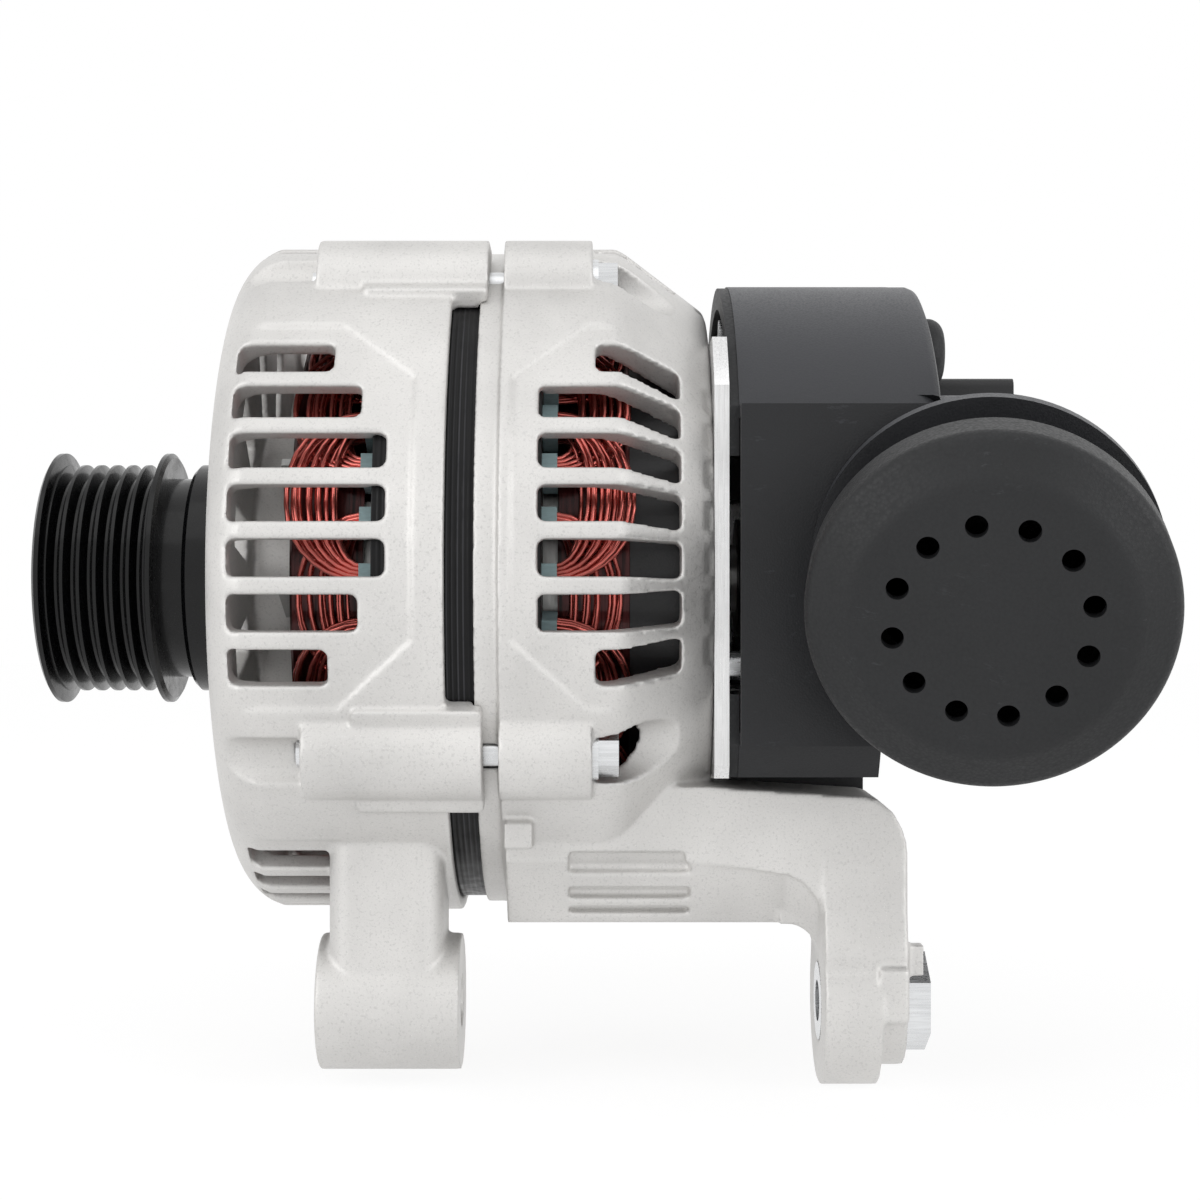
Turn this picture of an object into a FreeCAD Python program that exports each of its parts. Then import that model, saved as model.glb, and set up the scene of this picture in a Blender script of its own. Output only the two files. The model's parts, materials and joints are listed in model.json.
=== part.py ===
# Generator alternator head of the kind that a ribbed belt drives.
# A claw-pole rotor turns in two ball bearings between two ribbed aluminium brackets, which
# clamp a laminated stator with copper end turns. The pulley and its collar sit on the front
# end of the shaft. The slip rings, the brushes with their regulator and the rectifier sit
# behind the rear bracket under a black cover, with an air duct on the cover's near side and
# a vented cap in the duct's mouth. Two feet below carry the pivot bolt.
#
# Frame: millimetres, +X along the rotor shaft from the pulley to the cover, +Z up, and the
# near side is -Y. The origin is on the shaft's axis, in the belt's centre plane.
# Angles round the shaft start at the near side (-Y) and turn towards the top (+Z).

import FreeCAD, Part
import math
import os
import Sketcher
from FreeCAD import Placement, Rotation, Vector

# Driving dimensions: the cell's name, its size in millimetres or degrees, and what it is.
DRIVING = [
    ("rib_pitch", 3.56, "pitch of the ribbed belt's grooves"),
    ("rib_count", 6, "grooves in the pulley"),
    ("rib_depth", 2.6, "depth of a belt groove"),
    ("pulley_radius", 25.4, "pulley over the rib tips"),
    ("flange_radius", 28.0, "pulley over its two flanges"),
    ("flange_thick", 1.6, "thickness of a pulley flange at its rim"),
    ("pulley_recess_radius", 17.0, "recess round the pulley nut"),
    ("pulley_web", 12.0, "length of the pulley's bored hub inside"),
    ("pulley_hub_radius", 22.3, "plain hub behind the rear flange"),
    ("pulley_hub_length", 5.5, "length of that plain hub"),
    ("collar_radius", 25.4, "labyrinth collar behind the pulley"),
    ("collar_gap", 1.2, "running gap between the collar and the bracket"),
    ("journal_radius", 8.5, "shaft in the front bearing and the pulley"),
    ("thread_radius", 7.0, "shaft's threaded front end"),
    ("seat_radius", 11.0, "shaft under the claw poles"),
    ("rear_journal_radius", 7.5, "shaft in the rear bearing and under the slip rings"),
    ("nut_flats", 22.0, "pulley nut across flats"),
    ("nut_height", 9.0, "pulley nut"),
    ("washer_thick", 2.0, "pulley nut's washer"),
    ("front_face", 30.5, "front bracket's flat face, from the belt's centre plane"),
    ("wall", 4.5, "wall of both brackets"),
    ("body_radius", 74.0, "outside of both brackets"),
    ("front_shoulder", 12.5, "length of the front bracket's rounded shoulder"),
    ("front_rim", 78.3, "rear edge of the front bracket's shell"),
    ("rear_rim", 88.7, "front edge of the rear bracket's full radius"),
    ("spigot_front", 83.9, "front edge of the rear bracket's stepped spigot"),
    ("spigot_step", 1.8, "spigot, in from the brackets' outside"),
    ("rear_shoulder", 20.0, "length of the rear bracket's rounded shoulder"),
    ("rear_face", 131.5, "rear bracket's flat rear face"),
    ("rear_face_step", 15.0, "rear bracket's flat rear face, in from its outside"),
    ("ear_radius", 9.5, "ears that the through bolts pass"),
    ("ear_front", 50.0, "front end of the front ears"),
    ("ear_gap", 3.2, "gap between the front and rear ears"),
    ("ear_block_width", 24.0, "flat block behind each front ear, round the shell"),
    ("bolt_inset", 3.8, "through bolts, in from the brackets' outside"),
    ("bolt_angle", 60.0, "first through bolt, from the near side"),
    ("bolt_count", 4, "through bolts"),
    ("bolt_radius", 2.9, "shank of a through bolt"),
    ("bolt_head_flats", 8.6, "hexagon head of a through bolt"),
    ("bolt_head_height", 5.2, "hexagon head of a through bolt"),
    ("bolt_head_seat", 107.0, "face under the head of a through bolt"),
    ("bolt_channel_length", 17.0, "open channel behind a bolt head"),
    ("bolt_groove_radius", 6.0, "half-round groove in front of an ear"),
    ("bolt_washer_radius", 5.6, "washer face under that head"),
    ("window_angle", 11.0, "middle window of a quarter, from the near side"),
    ("window_pitch", 8.5, "angle from one window to the next"),
    ("window_width", 7.2, "width of a window"),
    ("window_step_mid", 5.2, "how much shorter the windows next to the middle three are"),
    ("window_step_end", 11.2, "how much shorter the end windows are"),
    ("front_window_start", 36.0, "front edge of the front bracket's windows"),
    ("front_window_end", 66.8, "rear edge of the long front windows"),
    ("rear_window_start", 96.4, "front edge of the long rear windows"),
    ("rear_window_end", 124.5, "rear edge of the rear windows"),
    ("panel_recess", 0.8, "depth of the flat panel round the windows"),
    ("inlet_count", 12, "air inlets in each bracket's end face"),
    ("inlet_width", 8.5, "width of an air inlet"),
    ("inlet_inner_radius", 37.0, "inner end of an air inlet"),
    ("inlet_inset", 20.0, "outer end of an air inlet, in from the brackets' outside"),
]
DRIVING += [
    ("stator_step", 3.0, "laminations, in from the brackets' outside"),
    ("bore_share", 0.7108, "stator's bore as a share of the brackets' outside"),
    ("stator_front", 64.0, "front face of the laminations"),
    ("stator_length", 33.0, "length of the lamination stack"),
    ("slot_count", 36, "winding slots in the stator"),
    ("slot_width", 4.4, "width of a winding slot"),
    ("slot_depth", 12.0, "depth of a winding slot from the bore"),
    ("slot_mouth", 2.2, "mouth of a slot at the bore"),
    ("tooth_tip", 1.6, "depth of the mouth at the bore"),
    ("liner_thick", 0.4, "slot insulation"),
    ("liner_overhang", 3.0, "slot insulation beyond the laminations"),
    ("coil_height", 16.0, "end turns beyond the laminations"),
    ("coil_inset", 7.6, "end turns, in from the laminations' outside"),
    ("coil_clearance", 1.0, "end turns to the rotor's space"),
    ("air_gap", 0.6, "gap between rotor and stator"),
    ("pole_front", 55.0, "front face of the front claw pole"),
    ("pole_length", 50.0, "both claw poles together"),
    ("pole_disc", 13.0, "thickness of a claw pole's disc"),
    ("claw_count", 6, "claws on each pole"),
    ("claw_root_share", 0.76, "inside of a claw at its root as a share of the bore"),
    ("claw_tip_share", 0.89, "inside of a claw at its tip as a share of the bore"),
    ("claw_gap_root_share", 0.228, "half of the gap between claws at the root as a share of the bore"),
    ("claw_gap_tip_share", 0.39, "half of that gap at the tips as a share of the bore"),
    ("claw_tip_clearance", 2.0, "claw tip to the far end of the rotor"),
    ("claw_chamfer", 2.5, "bevel round the claw pole's outer corner"),
    ("core_radius", 21.0, "hub of a claw pole inside the field coil"),
    ("bobbin_wall", 1.5, "wall of the field coil's bobbin"),
    ("field_coil_share", 0.722, "outside of the field coil as a share of the bore"),
    ("fan_share", 0.95, "outside of both fans as a share of the bore"),
    ("fan_plate", 1.5, "sheet thickness of a fan"),
    ("fan_root_share", 0.665, "inner end of a fan blade as a share of the bore"),
    ("fan_front_height", 11.0, "blade height of the front fan"),
    ("fan_rear_height", 9.0, "blade height of the rear fan"),
    ("fan_front_blades", 11, "blades of the front fan"),
    ("fan_rear_blades", 13, "blades of the rear fan"),
    ("fan_lean", 28.0, "angle of a blade to the radius"),
    ("front_bearing_radius", 23.5, "outside of the front bearing"),
    ("front_bearing_width", 14.0, "front bearing"),
    ("front_bearing_ball", 4.3, "ball radius of the front bearing"),
    ("front_bearing_balls", 7, "balls in the front bearing"),
    ("rear_bearing_radius", 17.5, "outside of the rear bearing"),
    ("rear_bearing_width", 11.0, "rear bearing"),
    ("rear_bearing_ball", 2.95, "ball radius of the rear bearing"),
    ("rear_bearing_balls", 8, "balls in the rear bearing"),
    ("race_thick_share", 0.28, "thickness of a race as a share of the bearing's section"),
    ("bearing_sleeve", 1.6, "plastic sleeve round the rear bearing"),
    ("bearing_wall", 5.5, "wall of a bearing seat"),
    ("front_seat_lip", 3.0, "bracket lip in front of the front bearing"),
    ("retainer_thick", 2.5, "plate that holds the front bearing"),
    ("retainer_radius", 33.5, "outside of that plate"),
    ("retainer_screw_circle", 29.6, "its screws, from the shaft's axis"),
    ("retainer_screw_radius", 2.4, "shank of a retainer screw"),
    ("retainer_screw_count", 4, "retainer screws"),
    ("retainer_screw_length", 7.0, "how deep a retainer screw goes into the bracket"),
    ("slip_ring_radius", 13.8, "running face of a slip ring"),
    ("slip_ring_thick", 3.0, "thickness of a slip ring"),
    ("slip_ring_width", 8.0, "width of a slip ring"),
    ("slip_ring_gap", 3.0, "plastic between the slip rings"),
    ("slip_ring_front", 141.5, "front edge of the first slip ring"),
    ("shaft_front", -9.0, "front end of the shaft"),
    ("shaft_rear", 164.0, "rear end of the shaft"),
    ("fit_gap", 0.3, "clearance of a loose seat"),
]
DRIVING += [
    ("pivot_height", -88.5, "pivot bolt's axis below the shaft"),
    ("pivot_depth", -38.0, "pivot bolt's axis, towards the near side"),
    ("pivot_bore_radius", 5.25, "bore of the front lug"),
    ("front_lug_radius", 14.0, "round end of the front lug"),
    ("front_lug_start", 50.5, "front face of the front lug"),
    ("front_lug_end", 79.8, "rear face of the front lug"),
    ("foot_column_width", 24.0, "front leg across the shaft's axis"),
    ("foot_column_length", 23.5, "front leg along the shaft's axis"),
    ("foot_column_inset", 2.5, "front leg behind the front face of its lug"),
    ("foot_column_rounding", 5.0, "rounded edges of the front leg"),
    ("foot_root", 44.0, "where the front leg ends inside the bracket, in from its outside"),
    ("bar_inset", 6.0, "cooling bars behind the front edge of the rear windows"),
    ("bar_length", 26.0, "length of a cooling bar"),
    ("bar_height", 3.4, "cooling bars, from 2 mm inside the bracket's outside"),
    ("bar_width", 7.0, "width of a cooling bar"),
    ("rear_boss_radius", 17.0, "round boss of the rear foot"),
    ("rear_boss_start", 153.8, "front face of the rear foot"),
    ("rear_boss_length", 11.8, "thick part of the rear foot"),
    ("rear_pad_radius", 13.0, "thinner pad behind the boss"),
    ("arm_outer", 171.0, "rear face of the rear arm"),
    ("arm_width", 24.0, "rear arm across the shaft's axis"),
    ("arm_top", -43.0, "upper edge of the rear arm at the rear bracket's face"),
    ("arm_slope", 2.5, "how far that edge falls from there to the bend"),
    ("arm_height", 29.0, "height of the arm"),
    ("arm_face_height", 15.0, "height of the arm's near face, above its bevel"),
    ("arm_bevel_depth", 10.0, "how far the bevel under that face goes back"),
    ("arm_bend_radius", 9.0, "outside bend of the arm"),
    ("arm_inner_radius", 7.0, "inside bend of the arm"),
    ("bush_bore_radius", 4.25, "threaded bore of the rear foot's bush"),
    ("bush_radius", 8.0, "steel bush in the rear foot"),
    ("bush_flats", 17.8, "hexagon of that bush"),
    ("bush_head", 5.2, "height of that hexagon"),
    ("plate_thick", 3.0, "rectifier's base plate"),
    ("plate_half_width", 55.0, "base plate to its straight near edge"),
    ("plate_top", 49.0, "top of the base plate"),
    ("plate_bottom", -41.0, "bottom of the base plate"),
    ("gasket_thick", 2.0, "seal between plate and cover"),
    ("cover_radius", 65.0, "outside of the round rear cover"),
    ("cover_wall", 2.4, "wall of the cover and the duct"),
    ("cover_rear", 177.5, "rear face of the cover"),
    ("cover_corner", 6.0, "rounded rear edge of the cover"),
    ("cover_flat", 61.0, "cover's flat near side, from the shaft"),
    ("cover_flat_half", 34.0, "half of the height of that flat side"),
    ("cover_step", 165.0, "rear face of the cover below the flat side"),
    ("arm_clearance", 2.0, "cover to the rear arm"),
    ("duct_mouth_along", 180.2, "centre of the duct's mouth along the shaft"),
    ("duct_mouth_out", 95.0, "centre of the duct's mouth, out from the shaft"),
    ("duct_mouth_up", -7.7, "centre of the duct's mouth above the shaft"),
    ("duct_tilt_down", 17.8, "mouth's tilt downwards"),
    ("duct_tilt_front", 8.3, "mouth's turn towards the pulley"),
    ("duct_neck_radius", 30.0, "duct's round neck"),
    ("duct_elbow", 64.0, "elbow behind the mouth, along the neck"),
    ("duct_elbow_radius", 26.0, "duct behind its collar"),
    ("duct_collar_radius", 34.4, "collar round the duct"),
    ("duct_collar_back", 28.0, "collar behind the mouth"),
    ("duct_collar_thick", 3.5, "thickness of that collar"),
    ("cap_radius", 34.4, "vented cap"),
    ("cap_face_radius", 26.0, "flat face of the cap"),
    ("cap_depth", 12.0, "depth of the cap's rim"),
    ("cap_dome", 4.5, "flat face in front of the mouth's centre"),
    ("cap_hole_circle", 18.3, "vent holes, from the cap's centre"),
    ("cap_hole_radius", 2.1, "a vent hole"),
    ("cap_hole_count", 12, "vent holes"),
    ("screw_radius", 2.0, "cover screws"),
    ("screw_circle", 54.0, "cover screws, from the shaft's axis"),
    ("screw_post_radius", 4.2, "post under a cover screw"),
    ("spacer_circle", 48.0, "rectifier's own screws, from the shaft's axis"),
    ("live_plate_gap", 5.0, "base plate to live plate"),
    ("board_gap", 9.0, "live plate to the joining board"),
    ("board_thick", 2.5, "joining board"),
    ("stud_radius", 4.0, "output stud"),
    ("stud_up", 50.5, "output stud above the shaft"),
    ("stud_end", 183.0, "rear end of the output stud"),
    ("boot_radius", 7.9, "rubber boot over the stud"),
    ("boot_rear", 185.7, "rear end of the boot"),
    ("stud_nut_flats", 13.0, "output stud's nut"),
    ("stud_nut_height", 6.5, "output stud's nut"),
    ("socket_rear", 203.5, "rear end of the plug socket"),
    ("socket_top", 46.0, "top of the plug socket"),
    ("socket_height", 17.0, "height of the plug socket"),
    ("socket_near", 8.6, "near side of the plug socket, from the shaft"),
    ("socket_width", 24.0, "width of the plug socket"),
    ("socket_depth", 14.0, "depth of its opening"),
    ("socket_pins", 3, "pins in the plug socket"),
    ("brush_width", 6.0, "brush along the shaft"),
    ("brush_depth", 8.0, "brush across the shaft"),
    ("brush_length", 15.0, "brush from the slip ring up"),
    ("brush_holder_wall", 1.5, "wall round a brush"),
    ("spring_radius", 2.2, "brush spring"),
    ("spring_wire", 0.35, "wire of a brush spring, its radius"),
    ("spring_turns", 5, "turns of a brush spring"),
    ("spring_length", 12.0, "brush spring at rest"),
    ("diode_radius", 6.4, "press-fit diode"),
    ("diode_height", 7.0, "press-fit diode's can"),
    ("regulator_depth", 20.0, "regulator's case behind the brush holder"),
    ("diode_circle", 42.0, "diodes, from the shaft's axis"),
    ("brush_room_near", 22.0, "room for the brushes in the rectifier, towards the near side"),
    ("brush_room_far", 35.0, "room for the brushes in the rectifier, away from the near side"),
]




class Size:
    """A length or angle that knows its value and the formula that a property is bound to."""

    def __init__(self, value, text):
        self.value = float(value)
        self.text = text

    def __float__(self):
        return self.value

    def __add__(self, other):
        other = size(other)
        return Size(self.value + other.value, f"({self.text} + {other.text})")

    def __radd__(self, other):
        return size(other) + self

    def __sub__(self, other):
        other = size(other)
        return Size(self.value - other.value, f"({self.text} - {other.text})")

    def __rsub__(self, other):
        return size(other) - self

    def __mul__(self, other):
        other = size(other)
        return Size(self.value * other.value, f"({self.text} * {other.text})")

    def __rmul__(self, other):
        return size(other) * self

    def __truediv__(self, other):
        other = size(other)
        return Size(self.value / other.value, f"({self.text} / {other.text})")

    def __rtruediv__(self, other):
        return size(other) / self

    def __neg__(self):
        return Size(-self.value, f"(-1 * {self.text})")


def size(number):
    """A plain number as a Size, and a Size as it is."""
    if isinstance(number, Size):
        return number
    return Size(number, f"({float(number):.9g})")


def cosine(angle):
    angle = size(angle)
    return Size(math.cos(math.radians(angle.value)), f"cos({angle.text})")


def sine(angle):
    angle = size(angle)
    return Size(math.sin(math.radians(angle.value)), f"sin({angle.text})")


def tangent(angle):
    angle = size(angle)
    return Size(math.tan(math.radians(angle.value)), f"tan({angle.text})")


doc = FreeCAD.newDocument("alternator")
sheet = doc.addObject("Spreadsheet::Sheet", "Sizes")


class Driving:
    """The driving dimensions by name, each bound to its cell."""


dim = Driving()
for row, (alias, value, meaning) in enumerate(DRIVING, start=1):
    sheet.set(f"A{row}", alias)
    sheet.set(f"B{row}", str(value))
    sheet.setAlias(f"B{row}", alias)
    sheet.set(f"C{row}", meaning)
doc.recompute()
for alias, value, meaning in DRIVING:
    setattr(dim, alias, Size(sheet.get(alias), f"Sizes.{alias}"))

NODES = {}
FULL_TURN = 360.0
REACH = 400.0
ALONG_SHAFT = Rotation(Vector(0, 1, 0), 90)


def node(label, item):
    """Registers a finished piece under the name of its file."""
    item.Label = label
    NODES[label] = item
    return item


def bind(item, **formulas):
    """Binds properties to sizes; a double underscore stands for the dot of a nested property."""
    for name, value in formulas.items():
        item.setExpression(name.replace("__", "."), size(value).text)
    return item


def put(item, x=0, y=0, z=0, turn=None):
    """Places an object at a point that follows the sizes, after an optional turn."""
    x, y, z = size(x), size(y), size(z)
    item.Placement = Placement(Vector(x.value, y.value, z.value), turn or Rotation())
    return bind(item, Placement__Base__x=x, Placement__Base__y=y, Placement__Base__z=z)


def rod(start, length, radius, y=0, z=0):
    """A plain cylinder along the shaft's direction."""
    made = doc.addObject("Part::Cylinder", "rod")
    bind(made, Radius=radius, Height=length)
    return put(made, start, y, z, ALONG_SHAFT)


def block(x, y, z, length, depth, height):
    """A plain box from its lowest corner."""
    made = doc.addObject("Part::Box", "block")
    bind(made, Length=length, Width=depth, Height=height)
    return put(made, x, y, z)


def hexagon(start, length, flats, y=0, z=0):
    """A hexagonal prism along the shaft's direction."""
    made = doc.addObject("Part::Prism", "hexagon")
    made.Polygon = 6
    bind(made, Circumradius=size(flats) / math.sqrt(3), Height=length)
    return put(made, start, y, z, ALONG_SHAFT)


def cut(base, *tools):
    """The base less every tool."""
    made = doc.addObject("Part::Cut", "cut")
    made.Base = base
    made.Tool = tools[0] if len(tools) == 1 else together(*tools)
    return made


def fuse(*items):
    """Several touching pieces as one."""
    made = doc.addObject("Part::MultiFuse", "fuse")
    made.Shapes = list(items)
    return made


def common(base, tool):
    """What two shapes share."""
    made = doc.addObject("Part::Common", "common")
    made.Base = base
    made.Tool = tool
    return made


def together(*items):
    """Separate solids under one name."""
    made = doc.addObject("Part::Compound", "group")
    made.Links = list(items)
    return made


def ring(start, length, outer, inner, y=0, z=0):
    """A tube along the shaft's direction."""
    hole = rod(size(start) - 1, size(length) + 2, inner, y, z)
    return cut(rod(start, length, outer, y, z), hole)


def around(angle, radius):
    """Y and Z of a point at an angle and a radius from the shaft's axis."""
    return -size(radius) * cosine(angle), size(radius) * sine(angle)


def shaped(shape):
    """An object that carries a shape made by Part's own functions."""
    made = doc.addObject("Part::Feature", "shaped")
    made.Shape = shape
    return made

# Places that follow from the driving dimensions.
belt_half = dim.rib_pitch * (dim.rib_count / 2 + 0.2)
pulley_rear = belt_half + dim.flange_thick + dim.pulley_hub_length
nut_seat = pulley_rear - dim.pulley_web
collar_boss = dim.journal_radius + 5
lip_radius = collar_boss + dim.collar_gap
front_bearing_front = dim.front_face + dim.front_seat_lip
front_bearing_rear = front_bearing_front + dim.front_bearing_width
pole_rear = dim.pole_front + dim.pole_length
rear_bearing_rear = dim.rear_face - 3
rear_bearing_front = rear_bearing_rear - dim.rear_bearing_width
stator_rear = dim.stator_front + dim.stator_length
shell_radius = dim.body_radius - dim.wall
spigot_radius = dim.body_radius - dim.spigot_step
rear_face_radius = dim.body_radius - dim.rear_face_step
bolt_circle_radius = dim.body_radius - dim.bolt_inset
inlet_outer_radius = dim.body_radius - dim.inlet_inset
stator_radius = dim.body_radius - dim.stator_step
stator_bore_radius = dim.body_radius * dim.bore_share
coil_radius = stator_radius - dim.coil_inset
claw_root_radius = stator_bore_radius * dim.claw_root_share
claw_tip_radius = stator_bore_radius * dim.claw_tip_share
claw_gap_root = stator_bore_radius * dim.claw_gap_root_share
claw_gap_tip = stator_bore_radius * dim.claw_gap_tip_share
field_coil_radius = stator_bore_radius * dim.field_coil_share
fan_radius = stator_bore_radius * dim.fan_share
fan_blade_root = stator_bore_radius * dim.fan_root_share
front_ear_end = dim.rear_rim - dim.ear_gap
bolt_tip = dim.ear_front - 1.5
plate_rear = dim.rear_face + dim.plate_thick
cover_front = plate_rear + dim.gasket_thick
live_front = plate_rear + dim.live_plate_gap
live_rear = live_front + dim.plate_thick
board_front = live_rear + dim.board_gap
board_rear = board_front + dim.board_thick
NEGATIVE_DIODES = (-150, -114, -78)
POSITIVE_DIODES = (-42, -6, 30)
SPACER_ANGLES = (-24, -96, 174)
COVER_SCREW_ANGLES = (75, 138, 192)
RADIAL_EDGES = (1, 3, 5, 7)
WINDOW_ROUNDING = 1.4




def origin_item(body, role):
    return next(item for item in body.Origin.OriginFeatures if item.Role == role)


def pinned(sketch, geometry, end, u, v):
    """Ties a point of a sketch to a position that follows the sizes."""
    for kind, value, other_axis in (("DistanceX", size(u), -2), ("DistanceY", size(v), -1)):
        if value.text == "(0)":
            sketch.addConstraint(Sketcher.Constraint("PointOnObject", geometry, end, other_axis))
            continue
        place = sketch.addConstraint(Sketcher.Constraint(kind, -1, 1, geometry, end, value.value))
        sketch.setExpression(f"Constraints[{place}]", value.text)


def rounded_corner(before, corner, after, radius):
    """Where a corner's arc leaves its two edges, and the arc's middle."""
    to_before = (before - corner).normalize()
    to_after = (after - corner).normalize()
    half = to_before.getAngle(to_after) / 2
    first = corner + to_before * (radius / math.tan(half))
    last = corner + to_after * (radius / math.tan(half))
    centre = corner + (to_before + to_after).normalize() * (radius / math.sin(half))
    return first, last, centre + (corner - centre).normalize() * radius


def outline(body, name, role, corners, offset=None):
    """A closed sketch through corners given as (u, v) or (u, v, corner radius)."""
    sketch = body.newObject("Sketcher::SketchObject", name)
    sketch.AttachmentSupport = [(origin_item(body, role), "")]
    sketch.MapMode = "FlatFace"
    if offset is not None:
        bind(sketch, AttachmentOffset__Base__z=offset)
    points = [Vector(float(size(c[0])), float(size(c[1])), 0) for c in corners]
    count = len(points)
    ends = []
    for place, corner in enumerate(corners):
        here = points[place]
        if len(corner) == 3:
            radius = float(size(corner[2]))
            ends.append(rounded_corner(points[place - 1], here, points[(place + 1) % count], radius))
        else:
            ends.append((here, here, None))
    edges, arcs = [], {}
    for place in range(count):
        start, stop = ends[place][1], ends[(place + 1) % count][0]
        edges.append(sketch.addGeometry(Part.LineSegment(start, stop), False))
    for place, (first, last, middle) in enumerate(ends):
        if middle is not None:
            arcs[place] = sketch.addGeometry(Part.Arc(first, middle, last), False)
    for place in range(count):
        before, after = edges[place - 1], edges[place]
        if place not in arcs:
            sketch.addConstraint(Sketcher.Constraint("Coincident", before, 2, after, 1))
            pinned(sketch, after, 1, corners[place][0], corners[place][1])
            continue
        arc = arcs[place]
        near_first = sketch.getPoint(arc, 1).distanceToPoint(ends[place][0]) < 1e-6
        sketch.addConstraint(Sketcher.Constraint("Tangent", before, 2, arc, 1 if near_first else 2))
        sketch.addConstraint(Sketcher.Constraint("Tangent", after, 1, arc, 2 if near_first else 1))
        rounding = sketch.addConstraint(Sketcher.Constraint("Radius", arc, float(size(corners[place][2]))))
        sketch.setExpression(f"Constraints[{rounding}]", size(corners[place][2]).text)
        mark = sketch.addGeometry(Part.Point(points[place]), True)
        sketch.addConstraint(Sketcher.Constraint("PointOnObject", mark, 1, before))
        sketch.addConstraint(Sketcher.Constraint("PointOnObject", mark, 1, after))
        pinned(sketch, mark, 1, corners[place][0], corners[place][1])
    return sketch


def turned(name, corners):
    """A body turned round the shaft's axis from an outline of (along, radius)."""
    body = doc.addObject("PartDesign::Body", name)
    sketch = outline(body, name + "_outline", "XY_Plane", corners)
    made = body.newObject("PartDesign::Revolution", name + "_turn")
    made.Profile = sketch
    made.ReferenceAxis = (sketch, ["H_Axis"])
    made.Angle = FULL_TURN
    return body


def pad(body, name, role, corners, length, offset=None, middle=False):
    """Adds an outline's extrusion to a body."""
    sketch = outline(body, name + "_outline", role, corners, offset)
    made = body.newObject("PartDesign::Pad", name)
    made.Profile = sketch
    made.Midplane = middle
    bind(made, Length=length)
    return made


def ring_of(body, name, feature, count):
    """Repeats a feature evenly round the shaft's axis."""
    pattern = body.newObject("PartDesign::PolarPattern", name)
    pattern.Originals = [feature]
    pattern.Axis = (origin_item(body, "X_Axis"), [""])
    pattern.Angle = FULL_TURN
    bind(pattern, Occurrences=count)
    body.Tip = pattern
    return pattern




def make_shaft():
    body = turned("shaft", [
        (dim.shaft_front, 0),
        (dim.shaft_front, dim.thread_radius - 1),
        (dim.shaft_front + 1, dim.thread_radius),
        (nut_seat, dim.thread_radius),
        (nut_seat, dim.journal_radius),
        (front_bearing_rear, dim.journal_radius),
        (front_bearing_rear, dim.seat_radius),
        (pole_rear + dim.fan_plate, dim.seat_radius),
        (pole_rear + dim.fan_plate, dim.rear_journal_radius + 2),
        (rear_bearing_front, dim.rear_journal_radius + 2),
        (rear_bearing_front, dim.rear_journal_radius),
        (dim.shaft_rear - 1, dim.rear_journal_radius),
        (dim.shaft_rear, dim.rear_journal_radius - 1),
        (dim.shaft_rear, 0),
    ])
    node("shaft", body)


def make_pulley():
    """Six vee grooves between two flanges, a recess for the nut and a plain hub behind."""
    half = belt_half
    flank = dim.rib_pitch * 0.2
    points = [
        (-half - dim.flange_thick, dim.pulley_recess_radius),
        (-half - dim.flange_thick, dim.flange_radius - 1),
        (-half - dim.flange_thick * 0.6, dim.flange_radius),
        (-half, dim.flange_radius),
        (-half + flank, dim.pulley_radius),
    ]
    count = int(dim.rib_count.value)
    first = -dim.rib_pitch * dim.rib_count / 2
    for groove in range(count):
        start = first + dim.rib_pitch * groove
        points += [
            (start + dim.rib_pitch * 0.1, dim.pulley_radius),
            (start + dim.rib_pitch * 0.42, dim.pulley_radius - dim.rib_depth),
            (start + dim.rib_pitch * 0.58, dim.pulley_radius - dim.rib_depth),
            (start + dim.rib_pitch * 0.9, dim.pulley_radius),
        ]
    points += [
        (half - flank, dim.pulley_radius),
        (half, dim.flange_radius),
        (half + dim.flange_thick * 0.6, dim.flange_radius),
        (half + dim.flange_thick, dim.flange_radius - 1),
        (half + dim.flange_thick, dim.pulley_hub_radius),
        (pulley_rear, dim.pulley_hub_radius),
        (pulley_rear, dim.journal_radius),
        (pulley_rear - dim.pulley_web, dim.journal_radius),
        (pulley_rear - dim.pulley_web, dim.pulley_recess_radius),
    ]
    node("pulley", turned("pulley", points))


def make_pulley_nut():
    washer = ring(nut_seat - dim.washer_thick, dim.washer_thick, dim.nut_flats * 0.6, dim.thread_radius)
    node("pulley_washer", washer)
    start = nut_seat - dim.washer_thick - dim.nut_height
    body = hexagon(start, dim.nut_height, dim.nut_flats)
    bevel = doc.addObject("Part::Cone", "bevel")
    bind(bevel, Radius1=dim.nut_flats * 0.5, Radius2=dim.nut_flats * 0.5 + dim.nut_height * 2,
         Height=dim.nut_height)
    put(bevel, start, 0, 0, ALONG_SHAFT)
    bore = rod(start - 1, dim.nut_height + 2, dim.thread_radius)
    node("pulley_nut", cut(common(body, bevel), bore))


def make_collar():
    """The labyrinth collar that throws water off the front bearing."""
    rear = dim.front_face - dim.collar_gap
    step = dim.collar_radius - 3
    body = turned("pulley_collar", [
        (pulley_rear, dim.journal_radius),
        (pulley_rear, dim.collar_radius - 1),
        (pulley_rear + 1, dim.collar_radius),
        (rear - 4, dim.collar_radius),
        (rear - 4, step),
        (rear, step),
        (rear, collar_boss),
        (front_bearing_front, collar_boss),
        (front_bearing_front, dim.journal_radius),
    ])
    node("pulley_collar", body)


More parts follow.
